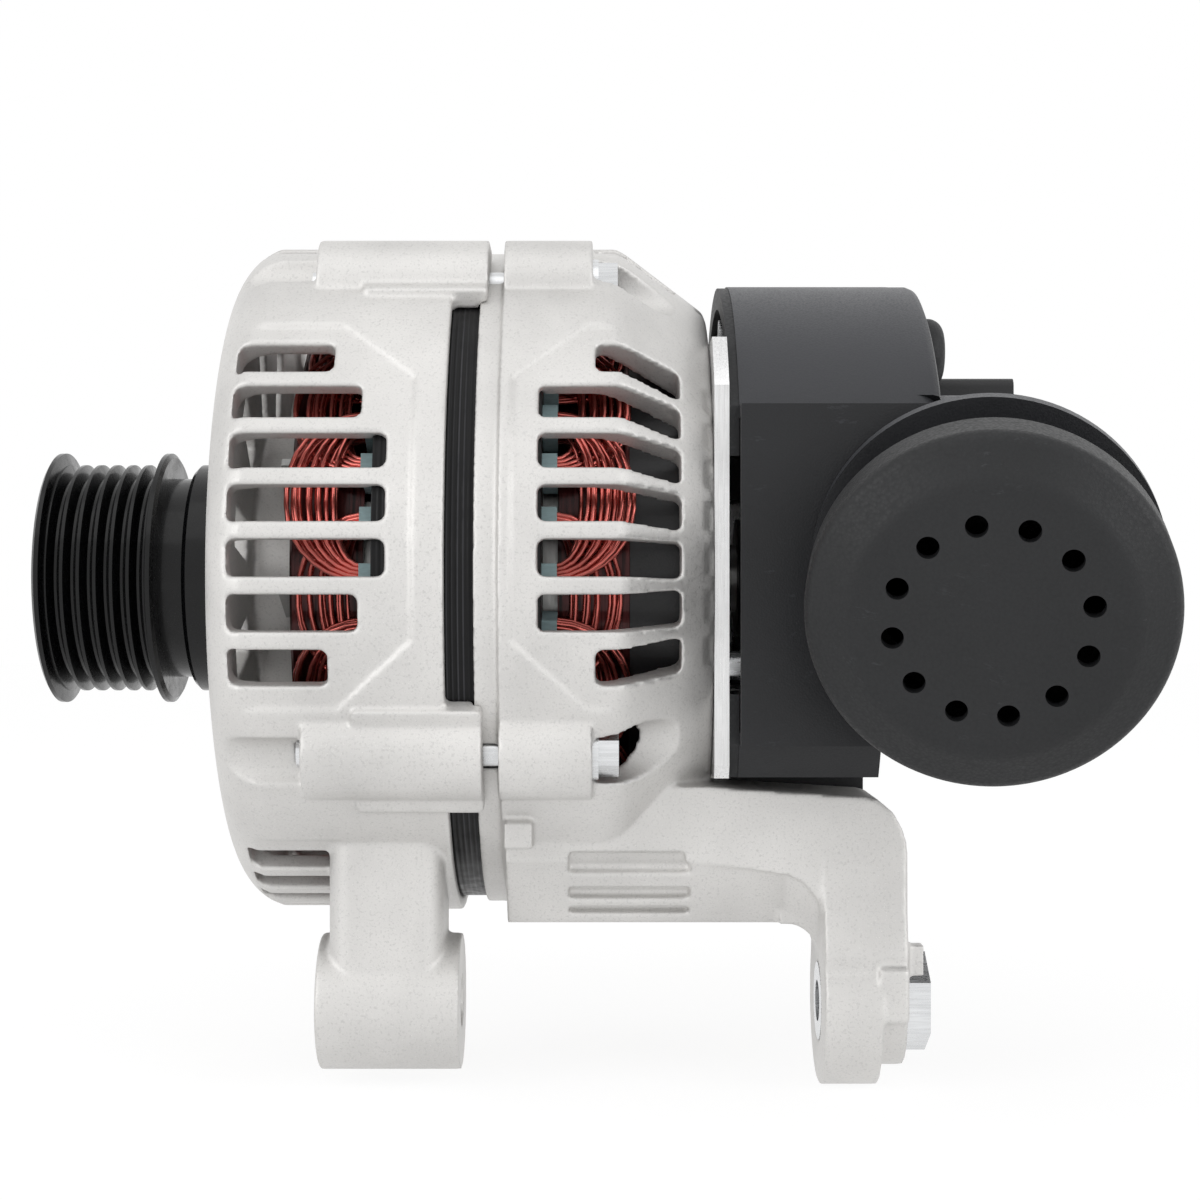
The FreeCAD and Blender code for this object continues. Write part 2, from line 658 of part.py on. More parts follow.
def make_claw_pole(label, outer, inward, first_angle):
    """One claw pole: a disc with six tapered claws and half of the core inside the coil.

    outer is the disc's outer face and inward is +1 or -1, the way that the claws point.
    """
    outer_radius = stator_bore_radius - dim.air_gap
    length = dim.pole_length - dim.claw_tip_clearance
    disc = outer + dim.pole_disc * inward
    tip = outer + length * inward
    middle = outer + dim.pole_length / 2 * inward
    body = turned(label, [
        (outer, dim.seat_radius),
        (outer, outer_radius - dim.claw_chamfer),
        (outer + dim.claw_chamfer * inward, outer_radius),
        (tip, outer_radius),
        (tip, claw_tip_radius),
        (disc, claw_root_radius),
        (disc, dim.core_radius),
        (middle, dim.core_radius),
        (middle, dim.seat_radius),
    ])
    past_tip = tip + inward * 2
    before = outer - inward
    gap = outline(body, label + "_gap_outline", "XY_Plane", [
        (before, -claw_gap_root),
        (disc, -claw_gap_root),
        (past_tip, -claw_gap_tip),
        (past_tip, claw_gap_tip),
        (disc, claw_gap_root),
        (before, claw_gap_root),
    ], field_coil_radius + 1)
    between = body.newObject("PartDesign::Pocket", label + "_gap")
    between.Profile = gap
    between.Reversed = True
    bind(between, Length=stator_bore_radius)
    ring_of(body, label + "_gaps", between, dim.claw_count)
    body.Placement = Placement(Vector(), Rotation(Vector(1, 0, 0), first_angle))
    return node(label, body)


def make_rotor():
    make_claw_pole("claw_pole_front", dim.pole_front, 1, 0)
    make_claw_pole("claw_pole_rear", pole_rear, -1, 180 / dim.claw_count.value)
    inner_front = dim.pole_front + dim.pole_disc + dim.fit_gap
    inner_rear = pole_rear - dim.pole_disc - dim.fit_gap
    wall = dim.bobbin_wall
    bobbin = turned("coil_bobbin", [
        (inner_front, dim.core_radius),
        (inner_front, field_coil_radius),
        (inner_front + wall, field_coil_radius),
        (inner_front + wall, dim.core_radius + wall),
        (inner_rear - wall, dim.core_radius + wall),
        (inner_rear - wall, field_coil_radius),
        (inner_rear, field_coil_radius),
        (inner_rear, dim.core_radius),
    ])
    node("coil_bobbin", bobbin)
    length = inner_rear - inner_front - 2 * wall
    coil = ring(inner_front + wall, length, field_coil_radius - 1, dim.core_radius + wall)
    node("field_coil", coil)


def make_fan(label, plate_start, blade_start, height, blades, lean):
    """A pressed fan: a flat plate against its pole with upright blades."""
    body = turned(label, [
        (plate_start, dim.seat_radius),
        (plate_start, fan_radius),
        (plate_start + dim.fan_plate, fan_radius),
        (plate_start + dim.fan_plate, dim.seat_radius),
    ])
    outer = fan_radius - 1
    rise = (outer - fan_blade_root) * tangent(lean)
    blade = pad(body, label + "_blade", "YZ_Plane", [
        (rise * -0.5, fan_blade_root),
        (rise * -0.5 + dim.fan_plate, fan_blade_root),
        (rise * 0.5 + dim.fan_plate, outer - 2),
        (rise * 0.5, outer - 2),
    ], height, blade_start)
    ring_of(body, label + "_blades", blade, blades)
    return node(label, body)


def radial_block(angle, start, length, inner, height, width, rounding=0):
    """A block that points outwards from the shaft at an angle, with rounded radial edges."""
    angle = float(size(angle))
    made = doc.addObject("Part::Box", "radial")
    bind(made, Length=length, Width=width, Height=height)
    y = size(width) * -0.5 * sine(angle) - size(inner) * cosine(angle)
    z = size(width) * -0.5 * cosine(angle) + size(inner) * sine(angle)
    put(made, start, y, z, Rotation(Vector(1, 0, 0), 90 - angle))
    if not rounding:
        return made
    rounded = doc.addObject("Part::Fillet", "rounded")
    rounded.Base = made
    rounded.Edges = [(edge, rounding, rounding) for edge in RADIAL_EDGES]
    return rounded


def window_blocks(start, end, step_at_start):
    """Seven windows in each quarter, shorter towards the bolts; one end of them steps in."""
    steps = {2: dim.window_step_mid, 3: dim.window_step_end}
    blocks = []
    for quarter in range(int(dim.bolt_count.value)):
        for place in range(-3, 4):
            step = steps.get(abs(place), size(0))
            angle = dim.window_angle + dim.window_pitch * place + quarter * FULL_TURN / dim.bolt_count
            first = start + step if step_at_start else start
            length = end - start - step
            blocks.append(radial_block(angle, first, length, shell_radius - 8, dim.wall + 9.5,
                                       dim.window_width, WINDOW_ROUNDING))
    return blocks


def inlet_blocks(start, length):
    """Rounded slots through an end face, as spokes between the hub and the shoulder."""
    blocks = []
    for place in range(int(dim.inlet_count.value)):
        angle = dim.window_angle + place * FULL_TURN / dim.inlet_count
        blocks.append(radial_block(angle, start, length, dim.inlet_inner_radius,
                                   inlet_outer_radius - dim.inlet_inner_radius, dim.inlet_width))
    return blocks


def panel_cutter(start, end, bevel):
    """The shallow flat between two bolt bosses that the windows open in.

    Its outline is six-sided: full width from start to bevel, then narrower towards end.
    """
    inner = float(dim.body_radius - dim.panel_recess)
    wide = math.radians(float(dim.window_pitch) * 3.62) * inner
    narrow = math.radians(float(dim.window_pitch) * 2.45) * inner
    start, end, bevel = float(start), float(end), float(bevel)
    field = [(start, -wide), (bevel, -wide), (end, -narrow), (end, narrow), (bevel, wide), (start, wide)]
    corners = [Vector(u, v, 0) for u, v in field]
    prism = Part.Face(Part.makePolygon(corners + corners[:1])).extrude(Vector(0, 0, REACH))
    low, high = sorted((start, end))
    outer = Part.makeCylinder(inner + 12, high - low + 2, Vector(low - 1, 0, 0), Vector(1, 0, 0))
    band = outer.cut(Part.makeCylinder(inner, high - low + 2, Vector(low - 1, 0, 0), Vector(1, 0, 0)))
    piece = band.common(prism)
    turns = []
    for quarter in range(int(dim.bolt_count.value)):
        angle = float(dim.window_angle) + quarter * FULL_TURN / float(dim.bolt_count)
        copy = piece.copy()
        copy.rotate(Vector(), Vector(1, 0, 0), 90 - angle)
        turns.append(copy)
    return shaped(Part.makeCompound(turns))


def bolt_places():
    """Y and Z of every through bolt."""
    for place in range(int(dim.bolt_count.value)):
        yield around(dim.bolt_angle + place * FULL_TURN / dim.bolt_count, bolt_circle_radius)


def bolt_angles():
    return [float(dim.bolt_angle) + place * FULL_TURN / float(dim.bolt_count)
            for place in range(int(dim.bolt_count.value))]


def make_front_bracket():
    """The drive-end bracket with its bearing seat, ears and windows, and the foot cast on below it."""
    front = dim.front_face
    body = turned("front_shell", [
        (front, lip_radius),
        (front, dim.body_radius, dim.front_shoulder),
        (dim.front_rim, dim.body_radius),
        (dim.front_rim, stator_radius),
        (dim.stator_front, stator_radius),
        (dim.stator_front, shell_radius),
        (front + dim.wall, shell_radius, dim.front_shoulder - dim.wall),
        (front + dim.wall, dim.retainer_radius),
        (front_bearing_rear, dim.retainer_radius),
        (front_bearing_rear, dim.front_bearing_radius),
        (front_bearing_front, dim.front_bearing_radius),
        (front_bearing_front, lip_radius),
    ])
    ears, grooves = [], []
    flat_front = dim.stator_front - 4
    for angle, (y, z) in zip(bolt_angles(), bolt_places()):
        ears.append(rod(dim.ear_front, front_ear_end - dim.ear_front, dim.ear_radius, y, z))
        ears.append(radial_block(angle, flat_front, front_ear_end - flat_front, stator_radius - 1,
                                 dim.wall, dim.ear_block_width, 1))
        y, z = around(angle, dim.body_radius + 2)
        grooves.append(rod(front - 1, dim.ear_front - front + 1, dim.bolt_groove_radius, y, z))
    room = rod(dim.stator_front, REACH, stator_radius)
    inside = rod(front + dim.wall, dim.stator_front - front - dim.wall, shell_radius)
    spigot_room = rod(dim.spigot_front - dim.fit_gap, REACH, spigot_radius + dim.fit_gap)
    outside_ears = cut(fuse(*ears), room, inside, spigot_room)
    bolt_holes = [rod(bolt_tip, REACH, dim.bolt_radius, y, z) for y, z in bolt_places()]
    screw_holes = [rod(front_bearing_rear - dim.retainer_screw_length, dim.retainer_screw_length + 1,
                       dim.retainer_screw_radius, *around(angle, dim.retainer_screw_circle))
                   for angle in retainer_angles()]
    panel = panel_cutter(front - 1, dim.front_window_end + 5.5, dim.front_window_end - 9.5)
    windows = window_blocks(dim.front_window_start, dim.front_window_end, False)
    inlets = inlet_blocks(front - 2, dim.wall + 4)
    shell = cut(body, panel, *windows, *inlets)
    bracket = node("front_bracket", cut(fuse(shell, outside_ears), *grooves, *bolt_holes, *screw_holes))
    seat = rod(front, REACH, dim.body_radius - dim.wall / 2)
    node("front_foot", cut(make_front_foot(), seat, bracket, *grooves, *bolt_holes, spigot_room,
                           front_lug_bore()))


def front_lug_bore():
    return rod(dim.front_lug_start - 1, dim.front_lug_end - dim.front_lug_start + 2,
               dim.pivot_bore_radius, dim.pivot_depth, dim.pivot_height)


def make_front_foot():
    """The leg below the front bracket, with the round lug of the pivot bolt at its foot."""
    length = dim.front_lug_end - dim.front_lug_start
    lug = rod(dim.front_lug_start, length, dim.front_lug_radius, dim.pivot_depth, dim.pivot_height)
    column = block(dim.front_lug_start + dim.foot_column_inset, dim.pivot_depth - dim.foot_column_width / 2,
                   dim.pivot_height, dim.foot_column_length, dim.foot_column_width,
                   dim.foot_root - dim.body_radius - dim.pivot_height)
    rounded = doc.addObject("Part::Fillet", "rounded_column")
    rounded.Base = column
    radius = dim.foot_column_rounding.value
    rounded.Edges = [(edge, radius, radius) for edge in RADIAL_EDGES]
    return fuse(lug, rounded)


def retainer_angles():
    count = int(dim.retainer_screw_count.value)
    return [45 + place * FULL_TURN / count for place in range(count)]


def make_rear_bracket():
    """The slip-ring-end bracket: its shell, the hub round the bearing, and the arm cast on it."""
    rear = dim.rear_face
    sleeve = dim.rear_bearing_radius + dim.bearing_sleeve
    boss = sleeve + dim.bearing_wall
    shoulder = rear - dim.rear_shoulder
    body = turned("rear_shell", [
        (dim.spigot_front, stator_radius),
        (dim.spigot_front, spigot_radius),
        (dim.rear_rim, spigot_radius),
        (dim.rear_rim, dim.body_radius),
        (shoulder, dim.body_radius, 12),
        (rear, rear_face_radius, 3),
        (rear, dim.rear_journal_radius + 4),
        (rear_bearing_rear, dim.rear_journal_radius + 4),
        (rear_bearing_rear, sleeve),
        (rear_bearing_front, sleeve),
        (rear_bearing_front, boss),
        (rear - dim.wall, boss),
        (rear - dim.wall, rear_face_radius - dim.wall),
        (shoulder - 2, shell_radius, 8),
        (stator_rear, shell_radius),
        (stator_rear, stator_radius),
    ])
    room = turned("rear_room", [
        (dim.spigot_front - 1, 0),
        (dim.spigot_front - 1, stator_radius),
        (stator_rear, stator_radius),
        (stator_rear, shell_radius - 0.5),
        (shoulder - 2, shell_radius - 0.5, 8),
        (rear - dim.wall, rear_face_radius - dim.wall - 0.5),
        (rear - dim.wall, 0),
    ])
    ears, channels = [], []
    for y, z in bolt_places():
        ears.append(rod(dim.rear_rim, dim.bolt_head_seat - dim.rear_rim, dim.ear_radius, y, z))
        channels.append(rod(dim.bolt_head_seat, dim.bolt_channel_length,
                            dim.bolt_washer_radius + dim.fit_gap * 2, y, z))
    holes = [rod(dim.spigot_front - 2, REACH / 4, dim.bolt_radius + dim.fit_gap, y, z)
             for y, z in bolt_places()]
    panel = panel_cutter(rear + 1, dim.rear_window_start - 5.5, dim.rear_window_start + 9.5)
    windows = window_blocks(dim.rear_window_start, dim.rear_window_end, True)
    inlets = inlet_blocks(rear - dim.wall - 2, dim.wall + 4)
    outside = cut(fuse(*ears, make_cooling_bars()), room)
    bush = rod(dim.rear_boss_start - 1, dim.arm_outer - dim.rear_boss_start + 2, dim.bush_radius,
               dim.pivot_depth, dim.pivot_height)
    shell = cut(body, panel, *windows)
    casting = cut(fuse(shell, outside), *inlets, *holes, *channels)
    middle = rod(rear_bearing_front - 1, REACH / 4, boss)
    bracket = node("rear_bracket", cut(casting, middle))
    node("rear_hub", common(casting, middle))
    node("rear_arm", cut(make_rear_arm(), room, bracket, *holes, *channels, bush))


def make_cooling_bars():
    """Three low bars on the underside of the rear bracket."""
    bars = [radial_block(angle, dim.rear_window_start + dim.bar_inset, dim.bar_length,
                         dim.body_radius - 2, dim.bar_height, dim.bar_width)
            for angle in (-68, -78, -88)]
    return fuse(*bars)


def make_rear_arm():
    """The arm from the rear bracket's near side, bent down to the rear foot."""
    near = dim.pivot_depth - dim.arm_width / 2
    body = doc.addObject("PartDesign::Body", "arm_bar")
    start = dim.rear_rim + 8
    foot = dim.pivot_height
    under = dim.arm_top - dim.arm_height
    bar = pad(body, "arm_side", "XZ_Plane", [
        (start, dim.arm_top),
        (dim.rear_face, dim.arm_top),
        (dim.arm_outer, dim.arm_top - dim.arm_slope, dim.arm_bend_radius),
        (dim.arm_outer, foot),
        (dim.rear_boss_start, foot),
        (dim.rear_boss_start, under, dim.arm_inner_radius),
        (start, under),
    ], dim.arm_width, -near)
    bar.Reversed = True
    edge = dim.arm_top - dim.arm_face_height
    slope = math.degrees(math.atan2(float(dim.arm_height - dim.arm_face_height),
                                    float(dim.arm_bevel_depth)))
    deep = dim.arm_width * 2.5
    wedge = block(0, 0, 0, dim.rear_boss_start - start - dim.arm_inner_radius, deep, deep)
    put(wedge, start - 1, near, edge, Rotation(Vector(1, 0, 0), -slope - 90))
    boss = rod(dim.rear_boss_start, dim.rear_boss_length, dim.rear_boss_radius,
               dim.pivot_depth, dim.pivot_height)
    back = rod(dim.rear_boss_start, dim.arm_outer - dim.rear_boss_start, dim.rear_pad_radius,
               dim.pivot_depth, dim.pivot_height)
    return fuse(cut(body, wedge), boss, back)


def make_foot_bush():
    """The threaded steel bush in the rear foot, with its hexagon behind."""
    shank = rod(dim.rear_boss_start, dim.arm_outer - dim.rear_boss_start, dim.bush_radius,
                dim.pivot_depth, dim.pivot_height)
    head = hexagon(dim.arm_outer, dim.bush_head, dim.bush_flats, dim.pivot_depth, dim.pivot_height)
    bore = rod(dim.rear_boss_start - 1, dim.arm_outer - dim.rear_boss_start + dim.bush_head + 2,
               dim.bush_bore_radius, dim.pivot_depth, dim.pivot_height)
    node("foot_bush", cut(fuse(shank, head), bore))


def make_stator():
    """The laminated core with its open slots, and the insulation that lines each slot."""
    length = dim.stator_length
    core = ring(dim.stator_front, length, stator_radius, stator_bore_radius)
    slots, liners = [], []
    bottom = stator_bore_radius + dim.slot_depth
    for place in range(int(dim.slot_count.value)):
        angle = place * FULL_TURN / dim.slot_count.value
        tip = stator_bore_radius + dim.tooth_tip
        slots.append(radial_block(angle, dim.stator_front - 1, length + 2, tip, bottom - tip,
                                  dim.slot_width))
        slots.append(radial_block(angle, dim.stator_front - 1, length + 2, stator_bore_radius - 1,
                                  dim.tooth_tip + 1.5, dim.slot_mouth))
        outer = radial_block(angle, dim.stator_front - dim.liner_overhang,
                             length + 2 * dim.liner_overhang, tip, bottom - tip, dim.slot_width)
        hollow = radial_block(angle, dim.stator_front - dim.liner_overhang - 1,
                              length + 2 * dim.liner_overhang + 2, tip - 1,
                              bottom - tip + 1 - dim.liner_thick, dim.slot_width - 2 * dim.liner_thick)
        liners.append(cut(outer, hollow))
    bolt_grooves = [rod(dim.stator_front - 1, length + 2, dim.bolt_radius + dim.fit_gap, y, z)
                    for y, z in bolt_places()]
    node("stator_core", cut(core, *slots, *bolt_grooves))
    node("slot_liners", together(*liners))


def make_windings():
    """Copper legs in the slots, and the rounded rings of end turns at both ends."""
    tip = stator_bore_radius + dim.tooth_tip
    inset = dim.liner_thick
    height = dim.slot_depth - dim.tooth_tip - inset
    beyond = dim.liner_overhang
    legs = []
    for place in range(int(dim.slot_count.value)):
        angle = place * FULL_TURN / dim.slot_count.value
        legs.append(radial_block(angle, dim.stator_front - beyond, dim.stator_length + 2 * beyond,
                                 tip, height, dim.slot_width - 2 * inset))
    node("slot_conductors", together(*legs))
    inner = stator_bore_radius + dim.coil_clearance
    outer = coil_radius
    depth = dim.coil_height - beyond
    for label, start in (("end_turns_front", dim.stator_front - dim.coil_height),
                         ("end_turns_rear", stator_rear + beyond)):
        node(label, turned(label, [
            (start, inner, 3), (start, outer, 4), (start + depth, outer, 4), (start + depth, inner, 3),
        ]))


def make_bearing(name, front, width, bore, outer, ball, count):
    """A sealed ball bearing: two grooved races, balls in their ring and two seals."""
    section = outer - bore
    thick = section * dim.race_thick_share
    pitch = (outer + bore) / 2
    middle = front + width / 2

    def groove(radius):
        made = doc.addObject("Part::Torus", "groove")
        bind(made, Radius1=pitch, Radius2=radius)
        return put(made, middle, 0, 0, ALONG_SHAFT)

    node(name + "_outer_race", cut(ring(front, width, outer, outer - thick), groove(ball + 0.1)))
    node(name + "_inner_race", cut(ring(front, width, bore + thick, bore), groove(ball + dim.fit_gap)))
    balls = []
    for place in range(int(count.value)):
        made = doc.addObject("Part::Sphere", "ball")
        bind(made, Radius=ball)
        balls.append(put(made, middle, *around(place * FULL_TURN / count.value, pitch)))
    node(name + "_balls", together(*balls))
    seal = 0.9
    lip = bore + thick + dim.fit_gap
    node(name + "_seals", together(ring(front + 0.4, seal, outer - thick, lip),
                                   ring(front + width - 0.4 - seal, seal, outer - thick, lip)))


def make_bearings():
    make_bearing("front_bearing", front_bearing_front, dim.front_bearing_width, dim.journal_radius,
                 dim.front_bearing_radius, dim.front_bearing_ball, dim.front_bearing_balls)
    make_bearing("rear_bearing", rear_bearing_front, dim.rear_bearing_width, dim.rear_journal_radius,
                 dim.rear_bearing_radius, dim.rear_bearing_ball, dim.rear_bearing_balls)
    sleeve = ring(rear_bearing_front, dim.rear_bearing_width,
                  dim.rear_bearing_radius + dim.bearing_sleeve, dim.rear_bearing_radius)
    node("rear_bearing_sleeve", sleeve)
    plate_start = front_bearing_rear
    depth = dim.retainer_screw_length
    plate = ring(plate_start, dim.retainer_thick, dim.retainer_radius, dim.front_bearing_radius - 4.5)
    holes, screws = [], []
    for angle in retainer_angles():
        y, z = around(angle, dim.retainer_screw_circle)
        holes.append(rod(plate_start - 1, dim.retainer_thick + 2, dim.retainer_screw_radius, y, z))
        shank = rod(plate_start - depth, dim.retainer_thick + depth, dim.retainer_screw_radius, y, z)
        head = rod(plate_start + dim.retainer_thick, 2, dim.retainer_screw_radius * 1.6, y, z)
        socket = hexagon(plate_start + dim.retainer_thick + 0.8, 2, dim.retainer_screw_radius * 1.5, y, z)
        screws.append(cut(fuse(shank, head), socket))
    node("bearing_retainer", cut(plate, *holes))
    node("retainer_screws", together(*screws))


def make_through_bolts():
    """The long bolts that clamp the brackets on the stator, their hexagons behind."""
    bolts = []
    seat = dim.bolt_head_seat
    for y, z in bolt_places():
        shank = rod(bolt_tip, seat - bolt_tip, dim.bolt_radius, y, z)
        collar = rod(seat, 1.2, dim.bolt_washer_radius, y, z)
        head = hexagon(seat + 1.2, dim.bolt_head_height - 1.2, dim.bolt_head_flats, y, z)
        bolts.append(fuse(shank, collar, head))
    node("through_bolts", together(*bolts))


def make_slip_rings():
    first, width = dim.slip_ring_front, dim.slip_ring_width
    second = first + width + dim.slip_ring_gap
    inner = dim.slip_ring_radius - dim.slip_ring_thick
    end = second + width + 1.5
    node("slip_ring_sleeve", turned("slip_ring_sleeve", [
        (first - 2.5, dim.rear_journal_radius),
        (first - 2.5, dim.slip_ring_radius - 0.6),
        (first, dim.slip_ring_radius - 0.6),
        (first, inner),
        (first + width, inner),
        (first + width, dim.slip_ring_radius - 0.6),
        (second, dim.slip_ring_radius - 0.6),
        (second, inner),
        (second + width, inner),
        (second + width, dim.slip_ring_radius - 0.6),
        (end, dim.slip_ring_radius - 0.6),
        (end, dim.rear_journal_radius),
    ]))
    node("slip_ring_front", ring(first, width, dim.slip_ring_radius, inner))
    node("slip_ring_rear", ring(second, width, dim.slip_ring_radius, inner))


def brush_middles():
    """Where along the shaft each brush stands: over the middle of its slip ring."""
    first = dim.slip_ring_front + dim.slip_ring_width / 2
    return (("front", first), ("rear", first + dim.slip_ring_width + dim.slip_ring_gap))


def coil_spring(x, foot, height):
    """An upright compression spring."""
    pitch = float(height - 2 * dim.spring_wire) / float(dim.spring_turns)
    helix = Part.makeHelix(pitch, float(height - 2 * dim.spring_wire), float(dim.spring_radius))
    start = Vector(float(dim.spring_radius), 0, 0)
    wire = Part.Wire(Part.makeCircle(float(dim.spring_wire), start, Vector(0, 1, 0)))
    solid = Part.Wire(helix.Edges).makePipeShell([wire], True, True)
    return put(shaped(solid), x, 0, foot + dim.spring_wire)


def make_brushes():
    """Two carbon brushes in their holder, each pressed on its slip ring by a spring."""
    seat = dim.slip_ring_radius + dim.fit_gap
    top = seat + dim.brush_length
    width, depth, gap = dim.brush_width, dim.brush_depth, dim.fit_gap
    wall = dim.brush_holder_wall
    foot = dim.slip_ring_radius + 2.5
    roof = top + dim.spring_length
    middles = [x for _, x in brush_middles()]
    start = middles[0] - width / 2 - gap - wall
    length = middles[1] - middles[0] + width + 2 * gap + 2 * wall
    case = block(start, -depth / 2 - gap - wall, foot, length, depth + 2 * gap + 2 * wall,
                 roof + wall - foot)
    wells = []
    for which, x in brush_middles():
        wells.append(block(x - width / 2 - gap, -depth / 2 - gap, foot - 1, width + 2 * gap,
                           depth + 2 * gap, roof - foot + 1))
        carbon = block(x - width / 2, -depth / 2, 8, width, depth, top - 8)
        node("brush_" + which, cut(carbon, rod(x - width, width * 2, seat)))
        node("brush_spring_" + which, coil_spring(x, top, dim.spring_length))
    node("brush_holder", cut(case, *wells))
    return start, length, roof + wall


def make_regulator(start, length, top):
    """The regulator's finned case on the far side of the brush holder, seated on the base plate."""
    near = dim.brush_depth / 2 + dim.fit_gap + dim.brush_holder_wall
    low = dim.slip_ring_radius + 4
    case = block(plate_rear, near, low, start + length - plate_rear, dim.regulator_depth, top - low)
    fins = [block(start + 3 + step * 4, near + dim.regulator_depth - 1, low + 4, 2, 6, top - low - 8)
            for step in range(5)]
    node("regulator", fuse(case, *fins))


def make_rectifier():
    """Base plate, live plate, diodes and the board that joins them, all round the slip rings."""
    hole = dim.slip_ring_radius + 6
    slab = block(dim.rear_face, -dim.plate_half_width, dim.plate_bottom, dim.plate_thick,
                 2 * dim.plate_half_width, dim.plate_top - dim.plate_bottom)
    disc = rod(dim.rear_face, dim.plate_thick, dim.cover_radius + 2)
    across = dim.brush_room_near + dim.brush_room_far
    brush_room = block(live_front - 1, -dim.brush_room_near, 0, REACH, across,
                       dim.stud_up - dim.stud_nut_flats * 0.35)
    outer = dim.cover_radius - 9
    notch = arm_notch(dim.cover_wall + dim.fit_gap)
    board_room = block(live_front - 1, -dim.brush_room_near, 0, REACH, across, REACH)
    live_tools, board_tools, base_tools = [brush_room, notch], [board_room, notch], []
    diodes, spacers, screws = [], [], []
    for angle in NEGATIVE_DIODES:
        y, z = around(angle, dim.diode_circle)
        diodes.append(rod(dim.rear_face, dim.diode_height + dim.plate_thick, dim.diode_radius, y, z))
        base_tools.append(rod(dim.rear_face - 1, dim.plate_thick + 2, dim.diode_radius, y, z))
        live_tools.append(rod(live_front - 1, dim.plate_thick + 2, dim.diode_radius + 1, y, z))
    for angle in POSITIVE_DIODES:
        y, z = around(angle, dim.diode_circle)
        diodes.append(rod(live_front, dim.diode_height + dim.plate_thick, dim.diode_radius, y, z))
        live_tools.append(rod(live_front - 1, dim.plate_thick + 2, dim.diode_radius, y, z))
    for angle in SPACER_ANGLES:
        y, z = around(angle, dim.spacer_circle)
        drill = rod(dim.rear_face - 1, REACH / 4, dim.screw_radius, y, z)
        for start, end in ((plate_rear, live_front), (live_rear, board_front)):
            spacers.append(cut(rod(start, end - start, dim.screw_radius * 2, y, z), drill))
        shank = rod(dim.rear_face, board_rear - dim.rear_face, dim.screw_radius, y, z)
        screws.append(fuse(shank, rod(board_rear, 2.4, dim.screw_radius * 1.9, y, z)))
        for tools in (base_tools, live_tools, board_tools):
            tools.append(drill)
    for y, z in cover_screw_places():
        passage = rod(live_front - 1, REACH / 4, dim.screw_post_radius + dim.fit_gap, y, z)
        live_tools.append(passage)
        board_tools.append(passage)
    stud_hole = rod(live_front - 1, REACH / 4, dim.stud_radius, 0, dim.stud_up)
    live_tools.append(stud_hole)
    board_tools.append(rod(live_front - 1, REACH / 4, dim.stud_radius + 1.5, 0, dim.stud_up))
    base = cut(common(slab, disc), rod(dim.rear_face - 1, REACH / 4, hole), *base_tools)
    live = cut(ring(live_front, dim.plate_thick, outer, hole + 5), *live_tools)
    board = cut(ring(board_front, dim.board_thick, outer - 3, hole + 7), *board_tools)
    node("rectifier_base_plate", base)
    node("rectifier_live_plate", live)
    node("rectifier_board", board)
    node("rectifier_spacers", together(*spacers))
    node("rectifier_screws", together(*screws))
    node("diodes", together(*diodes))


def make_output_stud():
    """The output stud on the live plate, its nut, and the rubber boot over its end."""
    head = 2.6
    stud = fuse(hexagon(live_front - head, head, dim.stud_nut_flats, 0, dim.stud_up),
                rod(live_front, dim.stud_end - live_front, dim.stud_radius, 0, dim.stud_up))
    node("output_stud", stud)
    nut = hexagon(live_rear, dim.stud_nut_height, dim.stud_nut_flats, 0, dim.stud_up)
    bore = rod(live_rear - 1, dim.stud_nut_height + 2, dim.stud_radius, 0, dim.stud_up)
    node("output_stud_nut", cut(nut, bore))
    boot = turned("stud_boot", [
        (dim.cover_rear, dim.stud_radius + dim.fit_gap),
        (dim.cover_rear, dim.boot_radius),
        (dim.boot_rear, dim.boot_radius, 3.5),
        (dim.boot_rear, 0),
        (dim.stud_end + dim.fit_gap, 0),
        (dim.stud_end + dim.fit_gap, dim.stud_radius + dim.fit_gap),
    ])
    node("stud_boot", put(boot, 0, 0, dim.stud_up))


def duct_outward():
    """The direction out of the duct's mouth."""
    tilt, turn = math.radians(dim.duct_tilt_down.value), math.radians(dim.duct_tilt_front.value)
    return Vector(-math.cos(tilt) * math.sin(turn), -math.cos(tilt) * math.cos(turn), -math.sin(tilt))


def duct_point(outward):
    """A point on the duct's axis, outward from the centre of its mouth."""
    tilt, turn = dim.duct_tilt_down, dim.duct_tilt_front
    return (dim.duct_mouth_along - size(outward) * cosine(tilt) * sine(turn),
            -dim.duct_mouth_out - size(outward) * cosine(tilt) * cosine(turn),
            dim.duct_mouth_up - size(outward) * sine(tilt))


def duct_rod(start, length, radius):
    """A cylinder on the duct's axis."""
    made = doc.addObject("Part::Cylinder", "duct_rod")
    bind(made, Radius=radius, Height=length)
    return put(made, *duct_point(start), Rotation(Vector(0, 0, 1), duct_outward()))


def cover_screw_places():
    """Y and Z of every cover screw."""
    return [around(angle, dim.screw_circle) for angle in COVER_SCREW_ANGLES]


def arm_notch(inset):
    """The corner that everything behind the rear bracket leaves free for the rear arm."""
    clear = dim.arm_clearance + inset
    depth = dim.pivot_depth + dim.arm_width / 2 + clear
    return block(dim.rear_face - 1, -REACH, -REACH, REACH, REACH + depth, REACH + dim.arm_top + clear)


